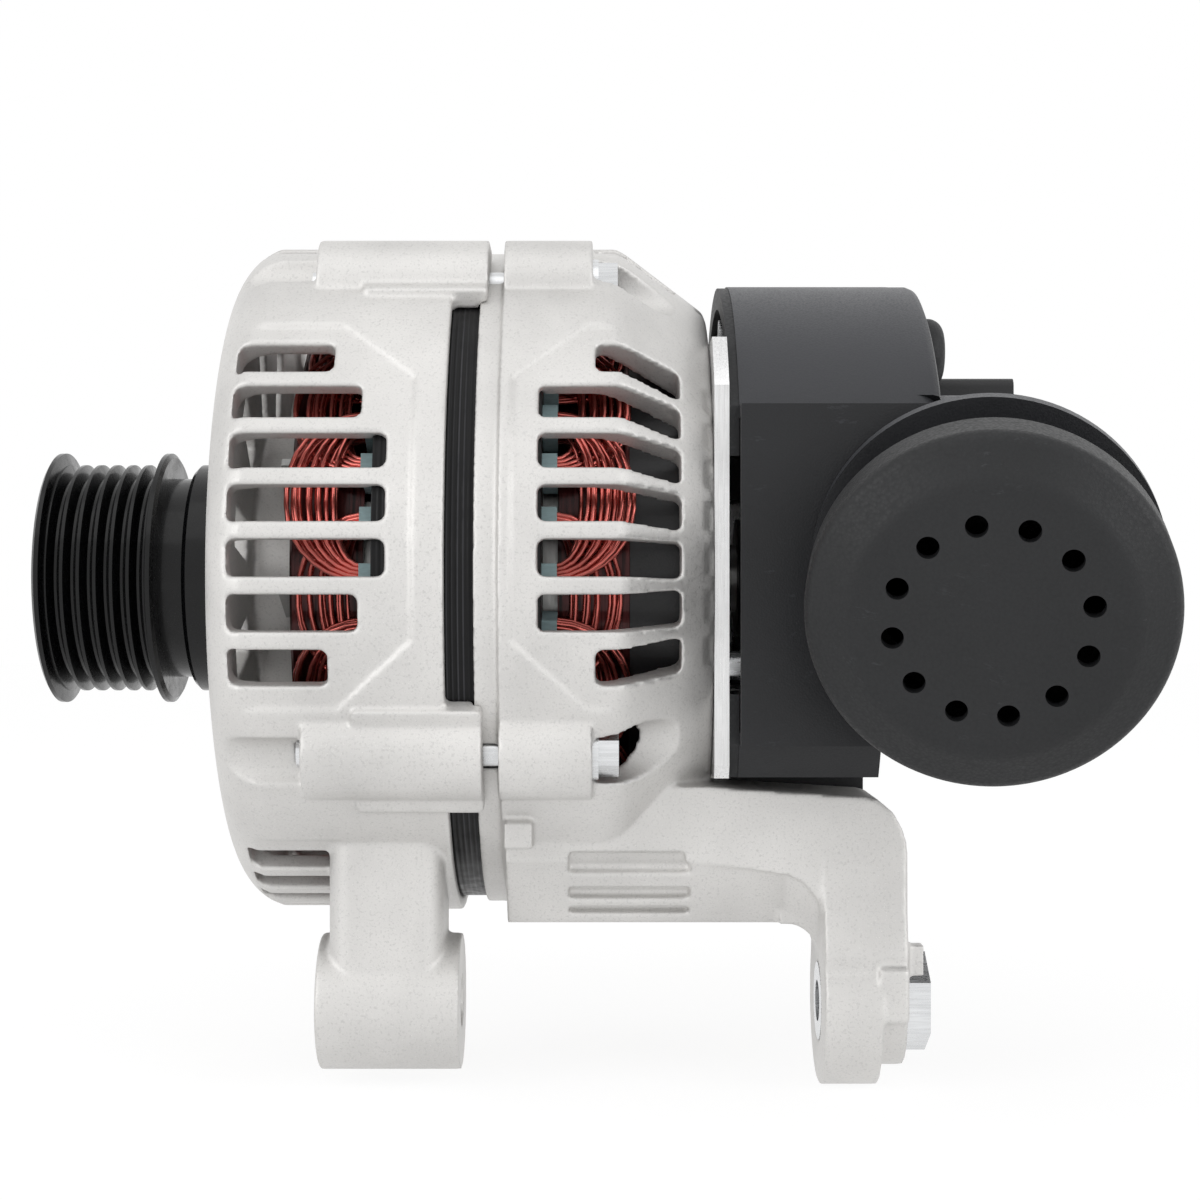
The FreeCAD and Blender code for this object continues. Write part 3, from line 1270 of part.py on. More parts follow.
def cover_form(name, front, inset):
    """The cover as a solid: a round cup with a flat near side, taken in by the inset."""
    radius, rear = dim.cover_radius - inset, dim.cover_rear - inset
    half, flat = dim.cover_flat_half - inset, dim.cover_flat - inset
    cup = turned(name, [(front, 0), (front, radius), (rear, radius, dim.cover_corner - inset), (rear, 0)])
    beyond = block(front - 1, -REACH, -half, REACH, REACH - flat, 2 * half)
    side = block(front, -flat, -half, rear - 3 - front, flat, 2 * half)
    step = block(dim.cover_step - inset, -REACH, -REACH, REACH, 2 * REACH, REACH - half)
    return cut(fuse(cut(cup, beyond), side), step, arm_notch(inset))


def elbow_form(name, inset):
    """The duct as a solid: a neck on the mouth's axis and an elbow that turns to the cover's rear."""
    radius = dim.duct_elbow_radius - inset
    x, y, z = duct_point(-dim.duct_elbow)
    corner = doc.addObject("Part::Sphere", name)
    bind(corner, Radius=radius)
    put(corner, x, y, z)
    inward = rod(dim.cover_rear - inset, x - dim.cover_rear + inset, radius, y, z)
    narrow = duct_rod(-dim.duct_elbow, dim.duct_elbow - dim.duct_collar_back, radius)
    wide_start = -dim.duct_collar_back - dim.duct_collar_thick + inset
    wide = duct_rod(wide_start, neck_end(inset) - wide_start, dim.duct_neck_radius - inset)
    return fuse(narrow, corner, inward, wide)


def neck_end(inset):
    """Where the neck stops, just behind the inside of the cap's face; the bore runs on."""
    return dim.cap_dome - dim.cover_wall - dim.fit_gap + inset


def make_cover():
    """The black rear cover with the elbow's way in, its seal, and its screws on their posts."""
    wall = dim.cover_wall
    way_in = elbow_form("duct_way_in", wall)
    stud_hole = rod(cover_front, REACH, dim.stud_radius + dim.fit_gap, 0, dim.stud_up)
    posts, screws, screw_holes = [], [], []
    inner_rear = dim.cover_rear - wall
    for place_y, place_z in cover_screw_places():
        drill = rod(plate_rear - 1, REACH / 4, dim.screw_radius, place_y, place_z)
        screw_holes.append(drill)
        bore = rod(inner_rear - 20, REACH / 4, dim.screw_radius, place_y, place_z)
        posts.append(cut(rod(plate_rear, inner_rear - plate_rear, dim.screw_post_radius,
                             place_y, place_z), bore))
        shank = rod(inner_rear - 18, wall + 18, dim.screw_radius, place_y, place_z)
        head = rod(dim.cover_rear, 2.4, dim.screw_radius * 1.9, place_y, place_z)
        screws.append(fuse(shank, head))
    shell = cut(cover_form("cover_outside", cover_front, 0),
                cover_form("cover_inside", cover_front - 1, wall))
    node("rear_cover", cut(shell, way_in, stud_hole, *screw_holes))
    node("cover_posts", together(*posts))
    node("cover_screws", together(*screws))
    seal_ring = ring(plate_rear, dim.gasket_thick, dim.cover_radius - 0.3, dim.cover_radius - 5)
    beyond = block(plate_rear - 1, -REACH, -REACH, 10, REACH - dim.plate_half_width, 2 * REACH)
    node("cover_seal", cut(seal_ring, beyond, arm_notch(0)))


def make_duct():
    """The elbow and its neck, with the collar between them."""
    wall = dim.cover_wall
    collar = duct_rod(-dim.duct_collar_back - dim.duct_collar_thick, dim.duct_collar_thick,
                      dim.duct_collar_radius)
    solid = fuse(elbow_form("elbow_outside", size(0)), collar)
    seat = cover_form("duct_seat", cover_front, 0)
    node("air_duct", cut(solid, elbow_form("elbow_inside", wall), seat))


def make_vent_cap():
    """The cap over the duct's mouth, with its ring of vent holes."""
    face, rim, bore = dim.cap_face_radius, dim.cap_radius, dim.duct_neck_radius + dim.fit_gap
    inside = dim.cap_dome - dim.cover_wall
    cap = turned("cap_turned", [
        (-dim.cap_depth, bore),
        (-dim.cap_depth, rim - 1),
        (-dim.cap_depth + 1, rim),
        (0, rim, 3),
        (dim.cap_dome, face, 6),
        (dim.cap_dome, 0),
        (inside, 0),
        (inside, bore),
    ])
    holes = []
    for place in range(int(dim.cap_hole_count.value)):
        y, z = around(place * FULL_TURN / dim.cap_hole_count, dim.cap_hole_circle)
        holes.append(rod(inside - 2, dim.cover_wall + 4, dim.cap_hole_radius, y, z))
    cap = cut(cap, *holes)
    node("vent_cap", put(cap, *duct_point(0), Rotation(Vector(1, 0, 0), duct_outward())))


def make_plug_socket():
    """The socket of the control plug on the cover's rear face, with its pins."""
    wall = dim.cover_wall
    low, high = dim.socket_top - dim.socket_height, dim.socket_top
    length = dim.socket_rear - dim.cover_rear
    shell = block(dim.cover_rear, dim.socket_near, low, length, dim.socket_width, dim.socket_height)
    rounded = doc.addObject("Part::Fillet", "rounded_socket")
    rounded.Base = shell
    rounded.Edges = [(edge, 2.0, 2.0) for edge in (9, 10, 11, 12)]
    opening = block(dim.socket_rear - dim.socket_depth, dim.socket_near + wall, low + wall,
                    dim.socket_depth + 1, dim.socket_width - 2 * wall, dim.socket_height - 2 * wall)
    pins, holes = [], []
    spacing = dim.socket_width / (dim.socket_pins + 1)
    middle = (low + high) / 2
    root_face = dim.socket_rear - dim.socket_depth
    for place in range(1, int(dim.socket_pins.value) + 1):
        y = dim.socket_near + spacing * place
        pins.append(block(root_face - 3, y - 0.4, middle - 1.4, 11, 0.8, 2.8))
        holes.append(block(root_face - 3, y - 0.4, middle - 1.4, 4, 0.8, 2.8))
    node("plug_socket", cut(rounded, opening, *holes))
    node("socket_pins", together(*pins))


make_shaft()
make_pulley()
make_pulley_nut()
make_collar()
make_rotor()
make_fan("fan_front", dim.pole_front - dim.fan_plate,
         dim.pole_front - dim.fan_plate - dim.fan_front_height, dim.fan_front_height,
         dim.fan_front_blades, dim.fan_lean)
make_fan("fan_rear", pole_rear, pole_rear + dim.fan_plate, dim.fan_rear_height,
         dim.fan_rear_blades, -dim.fan_lean)
make_front_bracket()
make_rear_bracket()
make_foot_bush()
make_stator()
make_windings()
make_bearings()
make_through_bolts()
make_slip_rings()
make_regulator(*make_brushes())
make_rectifier()
make_output_stud()
make_cover()
make_duct()
make_vent_cap()
make_plug_socket()

doc.recompute()
for item in doc.Objects:
    if "Invalid" in item.State or "Error" in item.State:
        raise RuntimeError(f"{item.Label} was not made: {item.State}")
for label, item in NODES.items():
    if item.Shape.isNull() or not item.Shape.isValid():
        raise RuntimeError(f"{label} has no valid shape")
os.makedirs("parts", exist_ok=True)
for label, item in NODES.items():
    item.Shape.exportStep(f"parts/{label}.step")
print(len(NODES), "pieces")
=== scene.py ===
"""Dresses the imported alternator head: wound wires, softened castings, finishes and the studio."""

from __future__ import annotations

import json
import logging
import math
import random
from dataclasses import dataclass
from enum import Enum
from typing import Any, Iterable, Sequence

import bmesh
import bpy
from bmesh.types import BMesh, BMFace, BMVert
from bpy.types import Curve, Material, Mesh, Object
from mathutils import Matrix, Vector

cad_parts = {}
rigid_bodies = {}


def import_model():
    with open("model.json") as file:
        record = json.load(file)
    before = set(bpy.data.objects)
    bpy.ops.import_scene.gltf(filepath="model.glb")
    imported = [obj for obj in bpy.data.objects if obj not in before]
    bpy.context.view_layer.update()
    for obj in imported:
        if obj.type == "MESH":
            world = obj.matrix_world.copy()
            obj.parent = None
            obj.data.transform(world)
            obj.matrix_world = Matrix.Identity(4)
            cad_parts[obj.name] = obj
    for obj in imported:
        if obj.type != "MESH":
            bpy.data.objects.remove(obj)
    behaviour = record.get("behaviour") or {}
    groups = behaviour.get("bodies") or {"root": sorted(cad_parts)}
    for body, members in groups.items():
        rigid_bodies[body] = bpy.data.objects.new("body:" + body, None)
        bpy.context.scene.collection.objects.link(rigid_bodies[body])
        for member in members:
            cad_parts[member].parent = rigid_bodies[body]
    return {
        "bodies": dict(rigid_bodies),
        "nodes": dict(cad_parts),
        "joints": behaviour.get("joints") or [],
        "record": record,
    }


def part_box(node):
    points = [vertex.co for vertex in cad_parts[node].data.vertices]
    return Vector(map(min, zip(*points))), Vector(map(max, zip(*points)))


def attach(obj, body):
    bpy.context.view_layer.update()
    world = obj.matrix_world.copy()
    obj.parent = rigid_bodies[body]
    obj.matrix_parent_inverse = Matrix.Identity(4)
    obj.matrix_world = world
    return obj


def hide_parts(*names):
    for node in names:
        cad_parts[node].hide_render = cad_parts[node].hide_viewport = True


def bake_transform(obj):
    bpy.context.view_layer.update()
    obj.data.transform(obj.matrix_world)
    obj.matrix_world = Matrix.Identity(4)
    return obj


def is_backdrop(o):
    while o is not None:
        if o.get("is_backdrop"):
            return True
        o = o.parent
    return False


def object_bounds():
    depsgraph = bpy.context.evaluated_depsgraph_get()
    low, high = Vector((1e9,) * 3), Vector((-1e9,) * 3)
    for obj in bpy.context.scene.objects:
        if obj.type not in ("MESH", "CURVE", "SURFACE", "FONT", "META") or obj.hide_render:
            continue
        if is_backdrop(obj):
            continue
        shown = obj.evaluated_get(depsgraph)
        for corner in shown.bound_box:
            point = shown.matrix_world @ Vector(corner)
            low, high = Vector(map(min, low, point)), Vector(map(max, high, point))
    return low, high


LOG = logging.getLogger("alternator")
MM = 0.001
Colour = tuple[float, float, float]
Point = tuple[float, float, float]
Pair = tuple[float, float]
Inputs = dict[str | int, Any]
ORIGIN: Point = (0.0, 0.0, 0.0)
SHAFT: Point = (1.0, 0.0, 0.0)
WHITE = (1.0, 1.0, 1.0, 1.0)


class Grain(Enum):
    """The way in which a metal was worked, with the stretch of its marks. Turned marks have none."""

    ALONG_SHAFT = (0.04, 1.0, 1.0)
    UPRIGHT = (1.0, 1.0, 0.04)
    TURNED = (0.0, 0.0, 0.0)


class Side(Enum):
    """The two ends of the stator."""

    FRONT = "front"
    REAR = "rear"


class Plane(Enum):
    """The plane that a flat outline is drawn in."""

    ACROSS_SHAFT = "across"
    ALONG_SHAFT = "along"


class Socket:
    """A node's output that takes part in sums and products."""

    def __init__(self, sheet: ShaderSheet, end: bpy.types.NodeSocket) -> None:
        """Keeps the output and the sheet that new Math nodes go on."""
        self.sheet = sheet
        self.end = end

    def __add__(self, other: Socket | float) -> Socket:
        """The sum."""
        return self.sheet.maths("ADD", self, other)

    def __radd__(self, other: float) -> Socket:
        """The sum, with the number first."""
        return self.sheet.maths("ADD", other, self)

    def __mul__(self, other: Socket | float) -> Socket:
        """The product."""
        return self.sheet.maths("MULTIPLY", self, other)

    def __rmul__(self, other: float) -> Socket:
        """The product, with the number first."""
        return self.sheet.maths("MULTIPLY", other, self)


Layers = tuple[Socket, Socket | float, Socket]


class ShaderSheet:
    """The nodes of one material or of the world."""

    def __init__(self, owner: Material | bpy.types.World) -> None:
        """Clears the owner's nodes.

        Args:
            owner: the material or the world.
        """
        self.owner = owner
        owner.use_nodes = True
        self.tree = owner.node_tree
        self.tree.nodes.clear()

    def placed(self, kind: str, settings: dict[str, Any], inputs: Inputs) -> bpy.types.Node:
        """Adds a node.

        Args:
            kind: the node's type.
            settings: its own settings, set before its sockets.
            inputs: values or outputs for its sockets, by name, identifier or number.

        Returns:
            The node.
        """
        made = self.tree.nodes.new(kind)
        for key, value in settings.items():
            setattr(made, key, value)
        for key, value in inputs.items():
            entry = self.found(made.inputs, key)
            if isinstance(value, Socket):
                self.tree.links.new(value.end, entry)
            else:
                entry.default_value = value
        return made

    def node(self, kind: str, settings: dict[str, Any] | None = None,
             inputs: Inputs | None = None, output: str | int = 0) -> Socket:
        """Adds a node, and hands back one of its outputs.

        Args:
            kind: the node's type.
            settings: its own settings.
            inputs: values or outputs for its sockets.
            output: the output's name, identifier or number.

        Returns:
            The wrapped output.
        """
        made = self.placed(kind, settings or {}, inputs or {})
        return Socket(self, self.found(made.outputs, output))

    @staticmethod
    def found(sockets: Iterable[bpy.types.NodeSocket], key: str | int) -> bpy.types.NodeSocket:
        """Finds a socket by number, identifier or name.

        Args:
            sockets: a node's inputs or outputs.
            key: the number, identifier or name.

        Returns:
            The socket.
        """
        listed = list(sockets)
        if isinstance(key, int):
            return listed[key]
        return next(s for s in listed if key in (s.identifier, s.name))

    def maths(self, operation: str, first: Socket | float, second: Socket | float) -> Socket:
        """One Math node's result."""
        return self.node("ShaderNodeMath", {"operation": operation}, {0: first, 1: second})

    def place(self, stretch: Point = (1.0, 1.0, 1.0)) -> Socket:
        """The place on the object, stretched along each axis."""
        at = self.node("ShaderNodeTexCoord", output="Object")
        return self.node("ShaderNodeMapping", {}, {"Vector": at, "Scale": stretch})

    def ring_place(self) -> Socket:
        """A place that doesn't change round the shaft, for turned marks."""
        at = self.node("ShaderNodeTexCoord", output="Object")
        along = self.node("ShaderNodeSeparateXYZ", {}, {"Vector": at}, "X")
        flat = self.node("ShaderNodeVectorMath", {"operation": "MULTIPLY"}, {0: at, 1: (0.0, 1.0, 1.0)})
        out = self.node("ShaderNodeVectorMath", {"operation": "LENGTH"}, {0: flat}, "Value")
        return self.node("ShaderNodeCombineXYZ", {}, {"X": along, "Y": out, "Z": 0.0})

    def noise(self, pitch: float, detail: float, rough: float = 0.5, at: Socket | None = None) -> Socket:
        """Cloudy noise.

        Args:
            pitch: the size of its patches, in millimetres.
            detail: the number of finer layers.
            rough: how strong the finer layers are.
            at: where it is read, or the object's own place.

        Returns:
            A value about 0.5.
        """
        inputs = {"Vector": at or self.place(), "Scale": 1.0 / MM / pitch, "Detail": detail,
                  "Roughness": rough}
        return self.node("ShaderNodeTexNoise", {}, inputs)

    def cells(self, pitch: float) -> Socket:
        """The distance to the nearest of many scattered points, which lie a pitch in millimetres apart."""
        inputs = {"Vector": self.place(), "Scale": 1.0 / MM / pitch}
        return self.node("ShaderNodeTexVoronoi", {}, inputs, "Distance")

    def spread(self, value: Socket, low: float, high: float, to_low: float = 0.0,
               to_high: float = 1.0) -> Socket:
        """Maps a range onto another, and holds it there.

        Args:
            value: the value.
            low: the value that becomes to_low.
            high: the value that becomes to_high.
            to_low: the result's one end.
            to_high: the result's other end.

        Returns:
            The mapped value.
        """
        inputs = {"Value": value, "From Min": low, "From Max": high, "To Min": to_low, "To Max": to_high}
        return self.node("ShaderNodeMapRange", {"clamp": True}, inputs)

    def blend(self, share: Socket | float, first: Socket | Colour, second: Socket | Colour) -> Socket:
        """Mixes two colours.

        Args:
            share: how much of the second there is.
            first: the first colour.
            second: the second colour.

        Returns:
            The mixed colour.
        """
        colours = [c if isinstance(c, Socket) else (*c, 1.0) for c in (first, second)]
        inputs = {"Factor_Float": share, "A_Color": colours[0], "B_Color": colours[1]}
        return self.node("ShaderNodeMix", {"data_type": "RGBA"}, inputs, "Result_Color")

    def bump(self, height: Socket, depth: float, strength: float, under: Socket | None = None) -> Socket:
        """Turns a height into a normal.

        Args:
            height: the height, from 0 to 1.
            depth: what a height of 1 is, in millimetres.
            strength: how much of it shows.
            under: a coarser normal below it.

        Returns:
            The normal.
        """
        inputs: Inputs = {"Height": height, "Distance": depth * MM, "Strength": strength}
        if under is not None:
            inputs["Normal"] = under
        return self.node("ShaderNodeBump", {}, inputs)

    def looked_at(self) -> Socket:
        """1 for rays from the camera and for those that reflect or pass through, 0 for the rest."""
        camera, glossy, through = (self.node("ShaderNodeLightPath", output=f"Is {kind} Ray")
                                   for kind in ("Camera", "Glossy", "Transmission"))
        return self.maths("MAXIMUM", camera, self.maths("MAXIMUM", glossy, through))

    def lead_out(self, surface: Socket) -> None:
        """Leads a surface or the world's light to the owner's output."""
        kind = "World" if isinstance(self.owner, bpy.types.World) else "Material"
        self.placed("ShaderNodeOutput" + kind, {}, {"Surface": surface})


@dataclass(frozen=True)
class Finish:
    """What every finish has: a name, a colour, a middle roughness, and what is the same all over it."""

    name: str
    colour: Colour
    roughness: float
    metallic: float = 0.0
    coat: float = 0.0
    coat_roughness: float = 0.03
    specular: float = 0.5

    def material(self) -> Material:
        """Makes the material the first time that it is asked for.

        Returns:
            The material.
        """
        label = self.name + "_finish"
        if label in bpy.data.materials:
            return bpy.data.materials[label]
        sheet = ShaderSheet(bpy.data.materials.new(label))
        colour, roughness, normal = self.layers(sheet)
        sheet.lead_out(sheet.node("ShaderNodeBsdfPrincipled", {}, {
            "Base Color": colour, "Metallic": self.metallic, "Roughness": roughness, "Normal": normal,
            "Coat Weight": self.coat, "Coat Roughness": self.coat_roughness,
            "Specular IOR Level": self.specular}))
        return sheet.owner

    def layers(self, sheet: ShaderSheet) -> Layers:
        """Lays out what changes over the surface. Each kind of finish has its own.

        Args:
            sheet: the sheet that takes the nodes.

        Returns:
            The colour, the roughness and the normal.
        """
        raise NotImplementedError

    def shade(self, by: float) -> Colour:
        """The colour, made lighter or darker by a factor, and at most white."""
        return tuple(min(1.0, part * by) for part in self.colour)


@dataclass(frozen=True)
class CastSkin(Finish):
    """Blasted cast metal: fine bright grains, which are painted glints, on a slightly clouded skin."""

    metallic: float = 0.75
    grain: float = 0.55
    cloud: float = 22.0
    swell: float = 9.0

    def layers(self, sheet: ShaderSheet) -> Layers:
        """Lays out clouds, dark grains, painted glints as small bright points and a low swell."""
        clouds = sheet.noise(self.cloud, 4.0)
        grains = sheet.noise(self.grain, 2.0, 0.7)
        glint_points = sheet.cells(self.grain * 1.3)
        body = sheet.blend(sheet.spread(clouds, 0.32, 0.68), self.shade(0.92), self.shade(1.06))
        dark = sheet.blend(sheet.spread(grains, 0.30, 0.48, 0.42, 0.0), body, self.shade(0.60))
        # Painted glints: small bright points lightened into the colour, standing for light caught by
        # facets.
        light = sheet.blend(sheet.spread(glint_points, 0.06, 0.16, 0.45, 0.0), dark, self.shade(1.3))
        swell = sheet.bump(sheet.noise(self.swell, 2.0), 0.3, 0.3)
        gloss = sheet.spread(grains + 0.35 * clouds, 0.4, 0.9, self.roughness - 0.10, self.roughness + 0.12)
        return light, gloss, sheet.bump(grains, self.grain * 0.14, 0.6, swell)


@dataclass(frozen=True)
class WorkedMetal(Finish):
    """Bright metal with the marks of rolling, brushing or turning."""

    metallic: float = 1.0
    grain: Grain = Grain.TURNED
    pitch: float = 0.5
    depth: float = 0.03
    tarnish: float = 14.0
    spot: float = 2.2

    def layers(self, sheet: ShaderSheet) -> Layers:
        """Lays out the marks, a soft tarnish and small dull spots."""
        at = sheet.ring_place() if self.grain is Grain.TURNED else sheet.place(self.grain.value)
        marks = sheet.noise(self.pitch, 3.0, 0.65, at)
        tarnish = sheet.noise(self.tarnish, 3.0)
        spots = sheet.noise(self.spot, 3.0, 0.7)
        tone = sheet.blend(sheet.spread(marks, 0.3, 0.7), self.shade(0.84), self.shade(1.10))
        dull = sheet.blend(sheet.spread(tarnish, 0.45, 0.72, 0.0, 0.35), tone, self.shade(0.70))
        gloss = sheet.spread(0.7 * marks + 0.5 * spots, 0.35, 0.85, self.roughness * 0.7,
                             self.roughness * 1.45)
        return dull, gloss, sheet.bump(marks, self.depth, 0.6)


@dataclass(frozen=True)
class GlossCoat(Finish):
    """A dark gloss coating on turned steel, with a little dust and fine marks."""

    coat_roughness: float = 0.12
    specular: float = 0.18
    ring: float = 0.9
    peel: float = 1.6
    dust: float = 5.0

    def layers(self, sheet: ShaderSheet) -> Layers:
        """Lays out faint rings, orange peel and dust."""
        rings = sheet.noise(self.ring, 2.0, 0.5, sheet.ring_place())
        peel = sheet.noise(self.peel, 2.0)
        dust = sheet.noise(self.dust, 5.0, 0.7)
        tone = sheet.blend(sheet.spread(dust, 0.55, 0.85, 0.0, 0.25), self.colour, self.shade(3.0))
        gloss = sheet.spread(dust, 0.35, 0.75, self.roughness * 0.75, self.roughness * 1.7)
        return tone, gloss, sheet.bump(peel, 0.03, 0.4, sheet.bump(rings, 0.02, 0.5))


@dataclass(frozen=True)
class Laminations(Finish):
    """Varnished sheets stacked along the shaft."""

    metallic: float = 0.2
    coat: float = 0.1
    coat_roughness: float = 0.25
    specular: float = 0.2
    sheet_thickness: float = 1.0
    varnish: float = 3.0

    def layers(self, sheet: ShaderSheet) -> Layers:
        """Lays out the sheets' edges, with some proud of the others, and drops of varnish."""
        long_way = sheet.place((1.0, 0.012, 0.012))
        stack = sheet.node("ShaderNodeTexWave", {"wave_type": "BANDS", "bands_direction": "X"},
                           {"Vector": sheet.place(), "Scale": math.pi / (10.0 * self.sheet_thickness * MM),
                            "Distortion": 0.0})
        uneven = sheet.noise(self.sheet_thickness * 1.7, 1.0, 0.5, long_way)
        varnish = sheet.noise(self.varnish, 3.0)
        edge = sheet.spread(stack, 0.72, 0.98)
        tone = sheet.blend(edge * sheet.spread(uneven, 0.46, 0.62), self.colour, self.shade(9.0))
        worn = sheet.blend(sheet.spread(varnish, 0.55, 0.75, 0.0, 0.4), tone, self.shade(2.0))
        gloss = sheet.spread(varnish, 0.3, 0.7, self.roughness * 0.7, self.roughness * 1.3)
        return worn, gloss, sheet.bump(stack * 0.6 + uneven * 0.6, 0.25, 0.8)


@dataclass(frozen=True)
class Enamel(Finish):
    """Clear dark red enamel on copper wire, with the lines of many strands where it has any."""

    metallic: float = 0.85
    coat: float = 0.35
    coat_roughness: float = 0.16
    strand: float = 0.0
    drift: float = 7.0
    streak: float = 1.3

    def layers(self, sheet: ShaderSheet) -> Layers:
        """Lays out deeper and paler stretches under a glossy coat."""
        drift = sheet.noise(self.drift, 2.0)
        streak = sheet.noise(self.streak, 3.0, 0.6)
        deep = sheet.blend(sheet.spread(drift, 0.35, 0.65), self.shade(0.7), self.shade(1.2))
        tone = sheet.blend(sheet.spread(streak, 0.52, 0.75, 0.0, 0.4), deep, self.shade(1.6))
        gloss = sheet.spread(streak, 0.3, 0.7, self.roughness * 0.8, self.roughness * 1.4)
        return tone, gloss, self.lines(sheet) if self.strand else sheet.bump(streak, 0.04, 0.7)

    def lines(self, sheet: ShaderSheet) -> Socket:
        """The relief of strands that run round the shaft."""
        strands = sheet.noise(self.strand, 1.0, 0.5, sheet.place((1.0, 0.05, 0.05)))
        return sheet.bump(sheet.spread(strands, 0.35, 0.65), 0.4, 0.7)


@dataclass(frozen=True)
class Moulded(Finish):
    """Moulded plastic or rubber with a fine grain, faint scuffs, a little dust and, where asked, painted
    light that lightens faces that look up.
    """

    coat_roughness: float = 0.3
    specular: float = 0.36
    grain: float = 0.5
    depth: float = 0.05
    scuff: float = 0.4
    flow: float = 30.0
    rub: float = 1.1
    scuffed: float = 17.0
    # How much lighter faces that look up are painted: painted light from above, not the plastic's colour.
    top_light: float = 1.0

    def layers(self, sheet: ShaderSheet) -> Layers:
        """Lays out the grain, scuffs, dust, gentle flow marks and painted top light, which lightens faces
        that look up as if lit from above.
        """
        grains = sheet.cells(self.grain)
        fine = sheet.noise(self.grain * 0.5, 2.0, 0.6)
        flow = sheet.noise(self.flow, 3.0)
        rub = sheet.noise(self.rub, 4.0, 0.75, sheet.place((0.16, 1.0, 0.5)))
        where = sheet.noise(self.scuffed, 2.0)
        scuffs = sheet.spread(rub, 0.60, 0.72) * sheet.spread(where, 0.52, 0.64)
        tone = sheet.blend(sheet.spread(flow, 0.35, 0.65), self.shade(0.88), self.shade(1.14))
        dusty = sheet.blend(sheet.spread(fine, 0.55, 0.8, 0.0, 0.3), tone, self.shade(1.9))
        rubbed_and_top_lit = sheet.blend(scuffs * self.scuff, dusty, self.shade(4.5))
        # Painted top light: faces that look up are made lighter as if lit from above.
        if self.top_light > 1.0:
            facing = sheet.node("ShaderNodeNewGeometry", output="Normal")
            up = sheet.node("ShaderNodeSeparateXYZ", {}, {"Vector": facing}, "Z")
            rubbed_and_top_lit = sheet.blend(sheet.spread(up, 0.15, 0.85), rubbed_and_top_lit, self.shade(self.top_light))
        gloss = sheet.spread(grains + 0.5 * flow, 0.3, 1.1, self.roughness - 0.08, self.roughness + 0.1)
        swell = sheet.bump(flow, 0.3, 0.25)
        return rubbed_and_top_lit, gloss, sheet.bump(grains * 0.7 + fine * 0.5, self.depth, 0.7, swell)


@dataclass(frozen=True)
class Fibre(Finish):
    """Pressed insulating paper, with its fibres and slight stains."""

    fibre: float = 0.6
    stain: float = 6.0

    def layers(self, sheet: ShaderSheet) -> Layers:
        """Lays out the fibres and stains."""
        threads = sheet.noise(self.fibre, 4.0, 0.7, sheet.place((0.2, 1.0, 1.0)))
        stains = sheet.noise(self.stain, 3.0)
        tone = sheet.blend(sheet.spread(threads, 0.3, 0.7), self.shade(0.86), self.shade(1.12))
        aged = sheet.blend(sheet.spread(stains, 0.5, 0.75, 0.0, 0.5), tone, self.shade(0.72))
        return aged, self.roughness, sheet.bump(threads, 0.05, 0.6)


@dataclass(frozen=True)
class PressedCarbon(Finish):
    """Pressed carbon and copper powder, with its bright specks."""

    metallic: float = 0.2
    speck: float = 0.35

    def layers(self, sheet: ShaderSheet) -> Layers:
        """Lays out the powder and its specks."""
        powder = sheet.noise(self.speck, 3.0, 0.7)
        specks = sheet.cells(self.speck * 1.6)
        tone = sheet.blend(sheet.spread(powder, 0.3, 0.7), self.shade(0.7), self.shade(1.5))
        bright = sheet.blend(sheet.spread(specks, 0.08, 0.2, 0.6, 0.0), tone, self.shade(7.0))
        return bright, self.roughness, sheet.bump(powder, 0.05, 0.6)


class Rack:
    """Every finish of the alternator by the record's material slot, and the one of the single wires."""

    FINISHES: dict[str, Finish] = {finish.name: finish for finish in (
        CastSkin("cast_aluminium", (0.69, 0.68, 0.665), 0.54),
        WorkedMetal("rolled_aluminium", (0.80, 0.80, 0.80), 0.28, grain=Grain.UPRIGHT, pitch=0.35,
                    depth=0.02),
        GlossCoat("black_steel", (0.0025, 0.0026, 0.0030), 0.24, coat=0.22),
        WorkedMetal("zinc_steel", (0.74, 0.75, 0.76), 0.26, grain=Grain.ALONG_SHAFT, pitch=0.6, depth=0.02),
        WorkedMetal("plain_steel", (0.46, 0.46, 0.45), 0.36, pitch=0.35),
        WorkedMetal("bearing_steel", (0.74, 0.74, 0.75), 0.14, pitch=0.2, depth=0.006),
        Laminations("lamination", (0.0045, 0.0045, 0.0050), 0.42, sheet_thickness=1.1),
        # This very dark red is the enamel's colour and also paints the shade between the wound wires, on
        # the end turns' inner ring.
        Enamel("enamelled_copper", (0.05, 0.007, 0.007), 0.34, strand=1.2),
        WorkedMetal("bare_copper", (0.78, 0.42, 0.26), 0.24, pitch=0.25, depth=0.02),
        Fibre("slot_liner", (0.36, 0.50, 0.52), 0.62),
        # The cover's faces that look up are painted lighter, as if lit from above.
        Moulded("cover_plastic", (0.0135, 0.0140, 0.0158), 0.40, grain=0.45, scuff=0.45, top_light=3.6),
        Moulded("cap_rubber", (0.0125, 0.0130, 0.0142), 0.50, grain=0.7, depth=0.06, scuff=0.5),
        Moulded("socket_plastic", (0.016, 0.0163, 0.0175), 0.40, grain=0.4, depth=0.04, scuff=0.3,
                coat=0.1),
        PressedCarbon("carbon", (0.035, 0.033, 0.031), 0.5),
        WorkedMetal("spring_steel", (0.55, 0.54, 0.52), 0.25, grain=Grain.UPRIGHT, pitch=0.2, depth=0.01),
        WorkedMetal("diode_can", (0.68, 0.68, 0.67), 0.22, pitch=0.3, depth=0.01),
    )}
    WIRE = Enamel("wound_wire", (0.58, 0.135, 0.112), 0.20)


